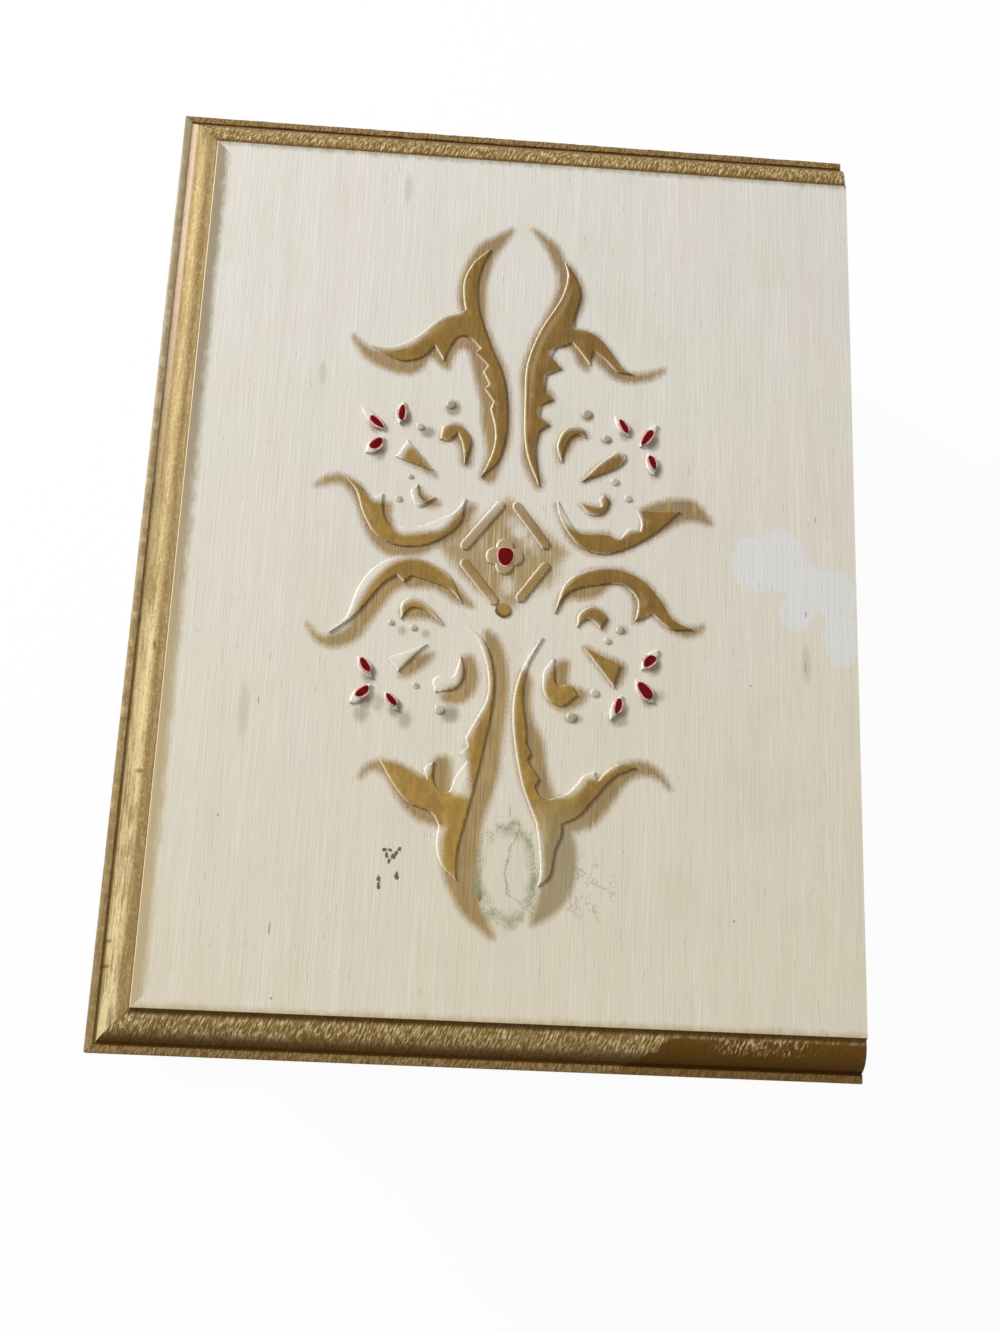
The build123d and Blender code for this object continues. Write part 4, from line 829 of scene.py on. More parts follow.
def swollen(source, voxel, pressure, most):
    """A padded shape whose cover has swelled under pressure, by most at the furthest."""
    pad = in_scene("pad", mesh_data("pad", source))
    remesh = pad.modifiers.new("remesh", "REMESH")
    remesh.mode = "VOXEL"
    remesh.voxel_size = voxel
    pad.data = bpy.data.meshes.new_from_object(evaluated(pad))
    pad.modifiers.clear()
    rest = [vert.co.copy() for vert in pad.data.vertices]
    cloth = pad.modifiers.new("cloth", "CLOTH").settings
    cloth.use_pressure = True
    cloth.uniform_pressure_force = pressure
    cloth.effector_weights.gravity = 0
    for step in range(1, 21):
        bpy.context.scene.frame_set(step)
    puffed = [vert.co.copy() for vert in evaluated(pad).to_mesh().vertices]
    for vert, start, end in zip(pad.data.vertices, rest, puffed):
        move = end - start
        vert.co = start + move * min(1, most / max(move.length, 1e-9))
    pad.modifiers.clear()
    bpy.context.scene.frame_set(1)
    result = bmesh.new()
    result.from_mesh(pad.data)
    bpy.data.objects.remove(pad)
    return result


def feed(tree, node, inputs):
    """Links or sets a node's inputs, by name or number."""
    for name, value in dict(inputs).items():
        if isinstance(value, bpy.types.NodeSocket):
            tree.links.new(value, node.inputs[name])
        else:
            node.inputs[name].default_value = value
    return node


def add(tree, kind, inputs=(), **settings):
    """Adds a node, with its inputs linked or set, by name or number."""
    made = tree.nodes.new("ShaderNode" + kind)
    for name, value in settings.items():
        setattr(made, name, value)
    return feed(tree, made, inputs)


def calc(tree, operation, first, second=0.0):
    """A sum, product or other calculation on values."""
    made = add(tree, "Math", {0: first, 1: second}, operation=operation)
    return made.outputs[0]


def times(tree, first, second):
    """The product of two values."""
    return calc(tree, "MULTIPLY", first, second)


def plus(tree, first, second):
    """The sum of two values."""
    return calc(tree, "ADD", first, second)


def less(tree, first, second):
    """The first value less the second."""
    return calc(tree, "SUBTRACT", first, second)


def rise(tree, value, low, high, start=0.0, end=1.0):
    """A smooth rise from start to end while the value goes from low to high."""
    made = add(tree, "MapRange", {0: value, 1: low, 2: high, 3: start, 4: end},
               interpolation_type="SMOOTHSTEP")
    return made.outputs[0]


def mix(tree, factor, first, second):
    """A mix of two colours."""
    return add(tree, "Mix", {0: factor, 6: first, 7: second}, data_type="RGBA").outputs[2]


def mix_value(tree, factor, first, second):
    """A mix of two values."""
    made = add(tree, "Mix", {0: factor, 2: first, 3: second}, data_type="FLOAT")
    return made.outputs[0]


def clouds(tree, place, scale, stretch=(1, 1, 1), detail=3.0, rough=0.55, turn=0.0):
    """Noise from 0 to 1, stretched along the axes, which may be turned about Z."""
    if turn:
        place = add(tree, "Mapping", {0: place, 2: (0, 0, turn)}).outputs[0]
    moved = add(tree, "Mapping", {0: place, 3: stretch}).outputs[0]
    made = add(tree, "TexNoise", {"Vector": moved, "Scale": scale, "Detail": detail, "Roughness": rough})
    return made.outputs[0]


def millimetres(tree):
    """The place on the object in millimetres."""
    place = add(tree, "TexCoord").outputs["Object"]
    return add(tree, "Mapping", {0: place, 3: (1000, 1000, 1000)}).outputs[0]


def parts_of(tree, place):
    """The x, y and z of a place."""
    return tuple(add(tree, "SeparateXYZ", {0: place}).outputs)


def shared(name, inputs, outputs, build):
    """A node group with named inputs and outputs, filled by build."""
    group = bpy.data.node_groups.new(name, "ShaderNodeTree")
    for title, kind, value in inputs:
        socket = group.interface.new_socket(name=title, in_out="INPUT", socket_type="NodeSocket" + kind)
        socket.default_value = value
    for title, kind in outputs:
        group.interface.new_socket(name=title, in_out="OUTPUT", socket_type="NodeSocket" + kind)
    source = group.nodes.new("NodeGroupInput")
    result = group.nodes.new("NodeGroupOutput")
    for title, value in build(group, source.outputs).items():
        group.links.new(value, result.inputs[title])
    return group


def use(tree, group, inputs):
    """Places a shared group in a material."""
    made = tree.nodes.new("ShaderNodeGroup")
    made.node_tree = group
    return feed(tree, made, inputs).outputs


def build_grain(tree, given):
    """Brush streaks and a few open pores of wood under paint, running along X."""
    broad = clouds(tree, given["Place"], 0.22, (0.05, 1, 1), 4)
    fine = clouds(tree, given["Place"], 2.0, (0.035, 1, 1), 3)
    dashes = clouds(tree, given["Place"], 1.5, (0.13, 1, 1), 2)
    pores = rise(tree, dashes, 0.70, 0.77)
    streak = plus(tree, times(tree, broad, 0.4), times(tree, fine, 0.6))
    height = less(tree, streak, times(tree, pores, 0.4))
    return {"Streak": streak, "Pores": pores, "Height": height}


grain_group = shared(
    "wood_grain", [("Place", "Vector", (0, 0, 0))],
    [("Streak", "Float"), ("Pores", "Float"), ("Height", "Float")], build_grain,
)


def build_spot(tree, given):
    """A mark on the face with a wobbly, soft or crisp outline."""
    shift = add(tree, "VectorMath", {0: given["Place"], 1: given["Centre"]}, operation="SUBTRACT")
    wide = add(tree, "VectorMath", {0: shift.outputs[0], 1: given["Reach"]}, operation="DIVIDE")
    flat = add(tree, "VectorMath", {0: wide.outputs[0], 1: (1, 1, 0)}, operation="MULTIPLY")
    far = add(tree, "VectorMath", {0: flat.outputs[0]}, operation="LENGTH").outputs["Value"]
    wobble = add(tree, "TexNoise", {"Vector": given["Place"], "Scale": given["Fineness"], "Detail": 4.0})
    sway = times(tree, less(tree, wobble.outputs[0], 0.5), given["Wobble"])
    reach = plus(tree, far, sway)
    low = less(tree, 1.0, given["Softness"])
    high = plus(tree, 1.0, given["Softness"])
    return {"Mask": less(tree, 1.0, rise(tree, reach, low, high))}


spot_group = shared(
    "spot",
    [("Place", "Vector", (0, 0, 0)), ("Centre", "Vector", (0, 0, 0)), ("Reach", "Vector", (1, 1, 1)),
     ("Softness", "Float", 0.1), ("Wobble", "Float", 0.5), ("Fineness", "Float", 0.3)],
    [("Mask", "Float")], build_spot,
)


def marks(tree, place, spots, softness, wobble, fineness):
    """The strongest of several spots: along, across, reach along and reach across."""
    strongest = None
    for along, across, reach_along, reach_across in spots:
        mask = use(tree, spot_group, {
            "Place": place, "Centre": (along, across, 0), "Reach": (reach_along, reach_across, 1),
            "Softness": softness, "Wobble": wobble, "Fineness": fineness,
        })["Mask"]
        strongest = mask if strongest is None else calc(tree, "MAXIMUM", strongest, mask)
    return strongest


def build_edge(tree, given):
    """How far out on the moulding a place is, and whether it is on an end of the board."""
    x, y, _ = parts_of(tree, given["Place"])
    half = less(tree, given["Half length"], calc(tree, "ABSOLUTE", x))
    deep = less(tree, y, given["Front"])
    out = less(tree, moulding_width / mm, calc(tree, "MINIMUM", half, deep))
    return {"Out": out, "End": calc(tree, "LESS_THAN", half, deep)}


edge_group = shared(
    "moulding_place",
    [("Place", "Vector", (0, 0, 0)), ("Half length", "Float", 127.0), ("Front", "Float", -93.0)],
    [("Out", "Float"), ("End", "Float")], build_edge,
)


def material(name):
    """A new material with its tree and its Principled shader."""
    made = bpy.data.materials.new(name)
    made.use_nodes = True
    shader = made.node_tree.nodes["Principled BSDF"]
    return made, made.node_tree, shader


def connect(tree, shader, **values):
    """Sets or links the shader's sockets, named with underscores."""
    feed(tree, shader, {name.replace("_", " "): value for name, value in values.items()})


def bump(tree, height, depth):
    """A Bump node from a height whose unit is the given depth in metres."""
    return add(tree, "Bump", {"Height": height, "Distance": depth, "Strength": 1.0}).outputs[0]


ivory_cool = (0.68, 0.645, 0.58, 1)
ivory_warm = (0.70, 0.635, 0.49, 1)
ivory_pink = (0.70, 0.62, 0.555, 1)
ivory_green = (0.60, 0.58, 0.44, 1)
ivory_light = (0.80, 0.765, 0.68, 1)
ivory_streak = (0.53, 0.49, 0.41, 1)
gold_brown = (0.215, 0.112, 0.016, 1)
gold_yellow = (0.40, 0.24, 0.045, 1)
gold_dark = (0.105, 0.054, 0.010, 1)
gold_ground = (0.33, 0.2, 0.065, 1)
gold_faded = (0.30, 0.27, 0.16, 1)
gold_fleck = (0.50, 0.335, 0.11, 1)
tan_tint = (0.37, 0.265, 0.13, 1)
overspray_green = (0.30, 0.25, 0.16, 1)
overspray_tan = (0.49, 0.385, 0.21, 1)
# Colours of the painted highlights on the ornament's rims and on the crest of the front moulding
ivory_highlight = (0.93, 0.91, 0.85, 1)
gold_highlight = (0.95, 0.84, 0.58, 1)
wood_pale = (0.44, 0.30, 0.165, 1)
gilt_brown = (0.24, 0.155, 0.055, 1)
gilt_mid = (0.36, 0.265, 0.115, 1)
gilt_light = (0.74, 0.61, 0.33, 1)
gilt_pale = (0.68, 0.52, 0.39, 1)
gilt_shade = (0.19, 0.108, 0.024, 1)
gilt_dull = (0.42, 0.295, 0.13, 1)
gilt_dark = (0.095, 0.042, 0.003, 1)
# Varnish stain, also used for the painted shade in the grooves
stain_and_groove_shade = (0.115, 0.046, 0.0, 1)
varnish_deep = (0.03, 0.008, 0.0, 1)
# Grey of smudges and cracks, also used for painted shade
grey_smudge_and_shade = (0.28, 0.23, 0.15, 1)
ring_green = (0.27, 0.27, 0.15, 1)
touch_up_white = (0.69, 0.69, 0.68, 1)
grime_dark = (0.045, 0.025, 0.012, 1)
enamel_deep, enamel_bright = (0.10, 0.0, 0.001, 1), (0.155, 0.001, 0.002, 1)
bleed_red, bleed_pale = (0.62, 0.27, 0.22, 1), (0.70, 0.46, 0.38, 1)
brass_clean, brass_tarnished = (0.72, 0.51, 0.22, 1), (0.30, 0.19, 0.075, 1)
steel_dark, steel_pale = (0.42, 0.41, 0.40, 1), (0.6, 0.59, 0.57, 1)
velvet_deep, velvet_bright = (0.17, 0.006, 0.014, 1), (0.27, 0.012, 0.026, 1)
velvet_tips, velvet_sheen = (0.4, 0.03, 0.05, 1), (0.9, 0.35, 0.38, 1)
felt_dark, felt_pale = (0.018, 0.045, 0.022, 1), (0.04, 0.085, 0.045, 1)
pine_pale, pine_dark = (0.52, 0.36, 0.2, 1), (0.38, 0.24, 0.12, 1)
glass_clear, glass_aged = (0.86, 0.89, 0.88, 1), (0.6, 0.58, 0.52, 1)
ochre_dark, ochre_pale, ochre_rim = (0.27, 0.16, 0.03, 1), (0.36, 0.23, 0.06, 1), (0.13, 0.075, 0.015, 1)


def between(tree, value, low, low_full, high_full, high):
    """A band from low to high, full strength between low_full and high_full."""
    return times(tree, rise(tree, value, low, low_full),
                rise(tree, value, high_full, high, 1.0, 0.0))


def aged_face(tree, place, paint, streak, ground):
    """Touch-ups, chips, scratches and rubbed places of the lid's face."""
    patches = marks(tree, place, touch_up_spots, 0.04, 0.9, 0.09)
    cover = rise(tree, streak, 0.34, 0.58, 0.6, 0.85)
    paint = mix(tree, times(tree, patches, cover), paint, touch_up_white)
    yellowed = marks(tree, place, yellowed_spots, 0.7, 0.7, 0.1)
    paint = mix(tree, times(tree, yellowed, 0.3), paint, ivory_green)
    rubbed_and_highlit = marks(tree, place, rubbed_spots, 0.5, 0.8, 0.5)
    paint = mix(tree, times(tree, rubbed_and_highlit, 0.25), paint, grey_smudge_and_shade)
    smear = marks(tree, place, smear_spots, 0.6, 0.9, 0.5)
    paint = mix(tree, times(tree, smear, 0.4), paint, touch_up_white)
    chips = marks(tree, place, chip_spots, 0.35, 0.9, 0.9)
    paint = mix(tree, times(tree, chips, times(tree, ground, 0.45)), paint, grime_dark)
    deep = marks(tree, place, deep_chip_spots, 0.3, 1.8, 1.8)
    return mix(tree, times(tree, deep, times(tree, ground, 0.85)), paint, grime_dark)


def old_ring(tree, place, paint, speckle):
    """The greenish ring left by a damp foot between the lower stems, with its fine cracks."""
    outer = marks(tree, place, ring_outside, 0.12, 0.6, 0.3)
    inner = marks(tree, place, ring_inside, 0.2, 0.6, 0.3)
    band = less(tree, outer, calc(tree, "MINIMUM", outer, inner))
    patches = clouds(tree, place, 0.16, (1, 1, 1), 3)
    band = times(tree, band, rise(tree, plus(tree, speckle, patches), 0.86, 1.14, 0.05, 0.9))
    paint = mix(tree, band, paint, ring_green)
    bends = clouds(tree, place, 0.11, (1, 1, 1), 5, 0.6)
    cracks = times(tree, between(tree, bends, 0.484, 0.497, 0.503, 0.516),
                  marks(tree, place, cracked_spots, 0.3, 0.4, 0.2))
    paint = mix(tree, times(tree, cracks, 0.4), paint, grey_smudge_and_shade)
    x, y, _ = parts_of(tree, place)
    course = crack_path[0][1]
    for (start, side), (end, next_side) in zip(crack_path, crack_path[1:]):
        course = plus(tree, course, rise(tree, x, start, end, 0.0, next_side - side))
    sway = times(tree, less(tree, clouds(tree, place, 0.7, (1, 1, 1), 4), 0.5), 2.2)
    off = less(tree, plus(tree, y, sway), course)
    long_crack = times(tree, rise(tree, calc(tree, "ABSOLUTE", off), 0.12, 0.34, 1.0, 0.0),
                       between(tree, x, 68.5, 70.5, 90.0, 92.0))
    return mix(tree, times(tree, long_crack, 0.5), paint, grey_smudge_and_shade)


def gilt_moulding(tree, place, x, y, edge, stained):
    """The gold of the moulding with its painted highlights and shade, the height of its brush strokes and its
    varnish stain.
    """
    out, at_end = edge["Out"], edge["End"]
    along = less(tree, 1.0, at_end)
    drawn = clouds(tree, place, 1.1, (0.09, 1, 1), 6, 0.75)
    grains = clouds(tree, place, 1.7, (0.6, 1, 1), 5, 0.8)
    worn = clouds(tree, place, 0.11, (0.5, 1, 1), 4, 0.6)
    front = mix(tree, rise(tree, mix_value(tree, 0.5, drawn, grains), 0.4, 0.62), gilt_brown, gilt_mid)
    # Painted highlight along the middle of the front moulding, stronger towards the right end
    band = between(tree, out, 2.2, 4.4, 7.8, 8.3)
    highlight_band = rise(tree, plus(tree, worn, times(tree, drawn, 0.9)), 0.78, 1.08)
    highlight_band = times(tree, times(tree, highlight_band, band), rise(tree, x, -50.0, 100.0, 0.04, 0.75))
    front = mix(tree, highlight_band, front, gilt_light)
    # Pale painted highlight on the outer flank of the front moulding, towards the left end
    pale_highlight = times(tree, between(tree, out, 5.9, 7.0, 8.5, 8.9), rise(tree, x, -95.0, 0.0, 0.8, 0.0))
    front = mix(tree, pale_highlight, front, gilt_pale)
    front = mix(tree, rise(tree, grains, 0.34, 0.5, 0.5, 0.0), front, gilt_brown)
    front = mix(tree, rise(tree, grains, 0.55, 0.7, 0.0, 0.45), front, gilt_light)
    lip = times(tree, rise(tree, out, 8.4, 8.8), rise(tree, x, -100.0, 60.0, 0.8, 0.1))
    front = mix(tree, lip, front, overspray_green)
    # Painted shade on the step below the crest of the front moulding
    foot = between(tree, out, 0.15, 0.3, 0.5, 0.95)
    front = mix(tree, times(tree, foot, 0.45), front, gilt_dark)

    slanted = clouds(tree, place, 1.6, (0.33, 1.3, 0.33), 4, 0.65, 0.38)
    end = mix(tree, rise(tree, slanted, 0.42, 0.58), gilt_shade, gilt_dull)
    flecks = times(tree, rise(tree, slanted, 0.54, 0.65), between(tree, out, 0.8, 1.6, 5.0, 6.0))
    end = mix(tree, times(tree, flecks, 0.95), end, gilt_light)
    # Painted shade on the flanks of the end mouldings
    flank_shade = rise(tree, out, 5.0, 7.2, 0.0, 0.8)
    end = mix(tree, times(tree, flank_shade, rise(tree, out, 8.4, 8.8, 1.0, 0.35)), end, gilt_dark)
    # Painted shade along the crest of the end mouldings
    crest = between(tree, out, -0.6, 0.1, 0.9, 1.9)
    end = mix(tree, times(tree, crest, 0.75), end, gilt_dark)
    leaf = mix(tree, at_end, front, end)

    # Painted highlight along the crest of the front moulding
    line = times(tree, between(tree, out, -0.4, -0.15, 0.08, 0.22), along)
    leaf = mix(tree, times(tree, line, 0.9), leaf, gold_highlight)
    # Painted shade in the groove: full on the ends, on the front growing towards the right end
    groove = between(tree, out, 7.7, 8.15, 8.45, 8.9)
    depth = plus(tree, times(tree, at_end, 0.85),
                 times(tree, along, rise(tree, x, -40.0, 90.0, 0.0, 0.55)))
    leaf = mix(tree, times(tree, groove, depth), leaf, stain_and_groove_shade)
    nicks = marks(tree, place, nick_spots, 0.4, 0.9, 0.9)
    leaf = mix(tree, times(tree, nicks, 0.6), leaf, gilt_dark)
    strokes = mix_value(tree, at_end, mix_value(tree, 0.6, drawn, grains), slanted)
    if not stained:
        return leaf, strokes, 0.0

    wander = times(tree, clouds(tree, place, 0.16, (1, 1, 1), 3), 9.0)
    start = plus(tree, y, plus(tree, times(tree, out, 1.8), wander))
    stain = times(tree, rise(tree, start, 54.5, 55.3), rise(tree, x, 100.0, 110.0))
    stain = times(tree, stain, rise(tree, out, 1.2, 2.1))
    gaps = times(tree, rise(tree, plus(tree, slanted, times(tree, worn, 0.5)), 0.74, 0.86),
                times(tree, between(tree, y, 54.0, 62.0, 74.0, 84.0), rise(tree, out, 4.2, 5.6, 0.85, 0.0)))
    stain = times(tree, stain, less(tree, 1.0, gaps))
    stain = times(tree, stain, rise(tree, out, 8.7, 9.1, 1.0, 0.55))
    leaf = mix(tree, times(tree, stain, 0.96), leaf, stain_and_groove_shade)
    leaf = mix(tree, times(tree, times(tree, stain, groove), 0.7), leaf, varnish_deep)
    return leaf, strokes, stain


def painted_wood(name, low, high, ornament):
    """Ivory paint over wood with a gold moulding, and the ornament's sprays on the lid."""
    made, tree, shader = material(name)
    place = millimetres(tree)
    x, y, z = parts_of(tree, place)
    grain = use(tree, grain_group, {"Place": place})
    streak = grain["Streak"]
    edge = use(tree, edge_group, {
        "Place": place, "Half length": high.x / mm, "Front": low.y / mm,
    })
    out, at_end = edge["Out"], edge["End"]
    face_top = high.z / mm
    raised = rise(tree, z, face_top + 0.12, face_top + 0.3)
    ground = less(tree, 1.0, raised)

    patchy = clouds(tree, place, 0.03, (1, 1, 1), 3)
    aged = plus(tree, plus(tree, x, times(tree, y, 0.15)), times(tree, patchy, 60.0))
    paint = mix(tree, rise(tree, aged, -70.0, 170.0), ivory_cool, ivory_warm)
    blush = clouds(tree, place, 0.055, (0.7, 1, 1), 3)
    paint = mix(tree, rise(tree, blush, 0.52, 0.68, 0.0, 0.45), paint, ivory_pink)
    paint = mix(tree, rise(tree, blush, 0.32, 0.46, 0.3, 0.0), paint, ivory_green)
    drawn = times(tree, ground, rise(tree, out, -0.6, -0.2, 1.0, 0.0))
    paint = mix(tree, times(tree, rise(tree, streak, 0.52, 0.66, 0.0, 0.45), drawn), paint, ivory_light)
    paint = mix(tree, times(tree, rise(tree, streak, 0.34, 0.48, 0.22, 0.0), drawn), paint, ivory_streak)
    paint = mix(tree, times(tree, times(tree, grain["Pores"], 0.05), drawn), paint, grime_dark)

    if ornament:
        paint = aged_face(tree, place, paint, streak, ground)
        mask = {title: add(tree, "Attribute", attribute_name=title).outputs["Fac"]
                for title in ("gold", "tint", "smudge_and_shade", "rubbed_and_highlit", "shaded_rim")}
        speckle = clouds(tree, place, 2.1, (1, 1, 1), 5, 0.8)
        uneven = times(tree, less(tree, streak, 0.5), times(tree, ground, 2.2))
        loose = plus(tree, times(tree, less(tree, speckle, 0.5), 2.0), uneven)
        gold_mask = add(tree, "MapRange", {
            0: plus(tree, mask["gold"], times(tree, loose, 0.5)), 1: 0.22, 2: 0.86,
        }).outputs[0]
        gold_mask = times(tree, gold_mask, less(tree, 0.97, times(tree, ground, 0.10)))
        # Yellower gold towards the front and the right end, partly the spray's tone and partly painted
        # reflection
        side = less(tree, times(tree, x, 0.5), times(tree, y, 0.7))
        warmer = rise(tree, plus(tree, side, times(tree, patchy, 80.0)), 0.0, 90.0)
        sprayed = mix(tree, warmer, gold_brown, gold_yellow)
        mottled = clouds(tree, place, 0.35, (0.6, 1, 1), 4, 0.6)
        threads = clouds(tree, place, 2.6, (0.03, 1, 1), 2)
        sprayed = mix(tree, rise(tree, mottled, 0.38, 0.62, 0.35, 0.0), sprayed, gold_dark)
        sprayed = mix(tree, times(tree, ground, 0.55), sprayed, gold_ground)
        dark_grain = times(tree, rise(tree, streak, 0.42, 0.58, 0.35, 0.0), ground)
        sprayed = mix(tree, dark_grain, sprayed, gold_dark)
        shown = plus(tree, 0.35, times(tree, ground, 0.65))
        pale_threads = times(tree, rise(tree, threads, 0.53, 0.66, 0.0, 0.5), shown)
        sprayed = mix(tree, pale_threads, sprayed, gold_fleck)
        dark_threads = times(tree, rise(tree, threads, 0.34, 0.47, 0.3, 0.0), shown)
        sprayed = mix(tree, dark_threads, sprayed, gold_dark)
        fade = marks(tree, place, faded_spots, 0.6, 0.6, 0.12)
        sprayed = mix(tree, times(tree, fade, 0.6), sprayed, gold_faded)
        sprayed = mix(tree, rise(tree, speckle, 0.55, 0.75, 0.0, 0.4), sprayed, gold_fleck)
        tinted = rise(tree, plus(tree, mask["tint"], times(tree, loose, 0.4)), 0.08, 0.85, 0.0, 0.95)
        paint = mix(tree, tinted, paint, tan_tint)
        veins = times(tree, tinted, times(tree, rise(tree, threads, 0.38, 0.52, 0.55, 0.0), ground))
        paint = mix(tree, veins, paint, gold_ground)
        pale = times(tree, tinted, times(tree, rise(tree, threads, 0.54, 0.66, 0.0, 0.5), ground))
        paint = mix(tree, pale, paint, ivory_warm)
        # Grey smudges and painted shade on the beads and beside the petals
        smudged_and_shaded = rise(tree, plus(tree, mask["smudge_and_shade"], times(tree, loose, 0.3)), 0.1, 0.9, 0.0, 0.8)
        paint = mix(tree, smudged_and_shaded, paint, grey_smudge_and_shade)
        # Colours of the painted highlight and the painted shade on the rims
        rim_highlight_colour = mix(tree, gold_mask, ivory_highlight, gold_highlight)
        rim_shade_colour = mix(tree, gold_mask, grey_smudge_and_shade, gold_dark)
        paint = mix(tree, gold_mask, paint, sprayed)
        paint = old_ring(tree, place, paint, speckle)
        # Painted highlight on the rims that face the front, painted shade on those that face away
        paint = mix(tree, times(tree, mask["rubbed_and_highlit"], 0.95), paint, rim_highlight_colour)
        paint = mix(tree, times(tree, mask["shaded_rim"], 0.8), paint, rim_shade_colour)

    leaf, strokes, stain = gilt_moulding(tree, place, x, y, edge, ornament)
    ragged = times(tree, clouds(tree, place, 0.45, (0.5, 1, 1), 5, 0.7), 3.4)
    reach = plus(tree, out, less(tree, ragged, times(tree, at_end, 2.2)))
    over = rise(tree, reach, -2.6, 0.2, 0.0, 0.95)
    mist = mix(tree, rise(tree, x, -60.0, 80.0), overspray_green, overspray_tan)
    paint = mix(tree, times(tree, over, ground), paint, mist)
    moulded = times(tree, rise(tree, out, -0.10, 0.06), rise(tree, z, low.z / mm + 0.1, low.z / mm + 0.4))
    paint = mix(tree, moulded, paint, leaf)
    gilt = times(tree, moulded, less(tree, 0.14, times(tree, at_end, 0.08)))
    gilt = times(tree, gilt, less(tree, 1.0, stain))
    flat = times(tree, ground, less(tree, 1.0, moulded))
    height = plus(tree, times(tree, grain["Height"], flat),
                  times(tree, times(tree, strokes, moulded),
                        plus(tree, 0.5, times(tree, at_end, 2.0))))
    rough = less(tree, rise(tree, streak, 0.3, 0.7, 0.36, 0.46), times(tree, raised, 0.12))
    connect(tree, shader, Base_Color=paint, Roughness=rough, Metallic=gilt,
            Normal=bump(tree, height, 0.00018), Specular_IOR_Level=0.09)
    return made


def wall_paint(name, turned):
    """Ivory paint on an upright board, rubbed at the rim and misted with gold at its foot."""
    made, tree, shader = material(name)
    place = millimetres(tree)
    z = parts_of(tree, place)[2]
    if turned:
        place = add(tree, "Mapping", {0: place, 2: (0, 0, math.pi / 2)}).outputs[0]
    grain = use(tree, grain_group, {"Place": place})
    streak = grain["Streak"]
    patchy = clouds(tree, place, 0.03, (1, 1, 1), 3)
    paint = mix(tree, rise(tree, patchy, 0.3, 0.7), ivory_cool, ivory_warm)
    paint = mix(tree, rise(tree, streak, 0.52, 0.66, 0.0, 0.45), paint, ivory_light)
    paint = mix(tree, rise(tree, streak, 0.34, 0.48, 0.3, 0.0), paint, ivory_streak)
    paint = mix(tree, times(tree, grain["Pores"], 0.3), paint, grime_dark)
    ragged = times(tree, clouds(tree, place, 0.4, (0.4, 1, 1), 5, 0.7), 7.0)
    foot = less(tree, less(tree, z, base_high.z / mm), ragged)
    paint = mix(tree, rise(tree, foot, -3.4, 1.2, 0.85, 0.0), paint, overspray_tan)
    head = less(tree, less(tree, lid_low.z / mm, z), times(tree, ragged, 0.8))
    paint = mix(tree, rise(tree, head, -3.0, 1.0, 0.6, 0.0), paint, overspray_green)
    worn = rise(tree, plus(tree, z, times(tree, ragged, 0.35)), rim_worn_from, rim_worn_to)
    paint = mix(tree, times(tree, worn, 0.8), paint, wood_pale)
    connect(tree, shader, Base_Color=paint, Roughness=rise(tree, streak, 0.3, 0.7, 0.4, 0.52),
            Normal=bump(tree, grain["Height"], 0.00016), Specular_IOR_Level=0.25)
    return made


def red_enamel():
    """Deep red enamel, a little uneven."""
    made, tree, shader = material("red_enamel")
    place = millimetres(tree)
    tone = clouds(tree, place, 0.9, (1, 1, 1), 3)
    colour = mix(tree, rise(tree, tone, 0.35, 0.65), enamel_deep, enamel_bright)
    connect(tree, shader, Base_Color=colour, Roughness=rise(tree, tone, 0.3, 0.7, 0.3, 0.42),
            Normal=bump(tree, tone, 0.00005), Specular_IOR_Level=0.08)
    return made


def pink_bleed():
    """Thin red that has run out from under the enamel."""
    made, tree, shader = material("pink_bleed")
    place = millimetres(tree)
    tone = clouds(tree, place, 1.2, (1, 1, 1), 4)
    colour = mix(tree, rise(tree, tone, 0.35, 0.65), bleed_red, bleed_pale)
    connect(tree, shader, Base_Color=colour, Roughness=rise(tree, tone, 0.3, 0.7, 0.36, 0.46),
            Normal=bump(tree, tone, 0.00005), Specular_IOR_Level=0.25)
    return made


def aged_brass():
    """Brass with tarnish in patches and fine drawn lines."""
    made, tree, shader = material("aged_brass")
    place = millimetres(tree)
    tarnish = clouds(tree, place, 0.35, (1, 1, 1), 5, 0.65)
    lines = clouds(tree, place, 2.2, (0.08, 1, 1), 3)
    colour = mix(tree, rise(tree, tarnish, 0.4, 0.68), brass_clean, brass_tarnished)
    connect(tree, shader, Base_Color=colour, Metallic=1.0,
            Roughness=rise(tree, plus(tree, tarnish, times(tree, lines, 0.4)), 0.45, 0.95, 0.22, 0.5),
            Normal=bump(tree, lines, 0.00003))
    return made


def steel():
    """Plain steel of the brads and the rivet."""
    made, tree, shader = material("steel")
    place = millimetres(tree)
    tone = clouds(tree, place, 0.8, (1, 1, 1), 4)
    colour = mix(tree, tone, steel_dark, steel_pale)
    connect(tree, shader, Base_Color=colour, Metallic=1.0, Roughness=rise(tree, tone, 0.3, 0.7, 0.3, 0.5))
    return made


def velvet():
    """Short red pile, crushed in places."""
    made, tree, shader = material("red_velvet")
    place = millimetres(tree)
    pile = clouds(tree, place, 3.2, (1, 1, 1), 3, 0.7)
    crushed = clouds(tree, place, 0.06, (1, 1, 1), 4, 0.6)
    colour = mix(tree, rise(tree, crushed, 0.35, 0.65), velvet_deep, velvet_bright)
    colour = mix(tree, rise(tree, pile, 0.4, 0.7, 0.0, 0.35), colour, velvet_tips)
    connect(tree, shader, Base_Color=colour, Roughness=0.85, Sheen_Weight=0.7,
            Sheen_Roughness=0.4, Sheen_Tint=velvet_sheen, Normal=bump(tree, pile, 0.00018))
    return made


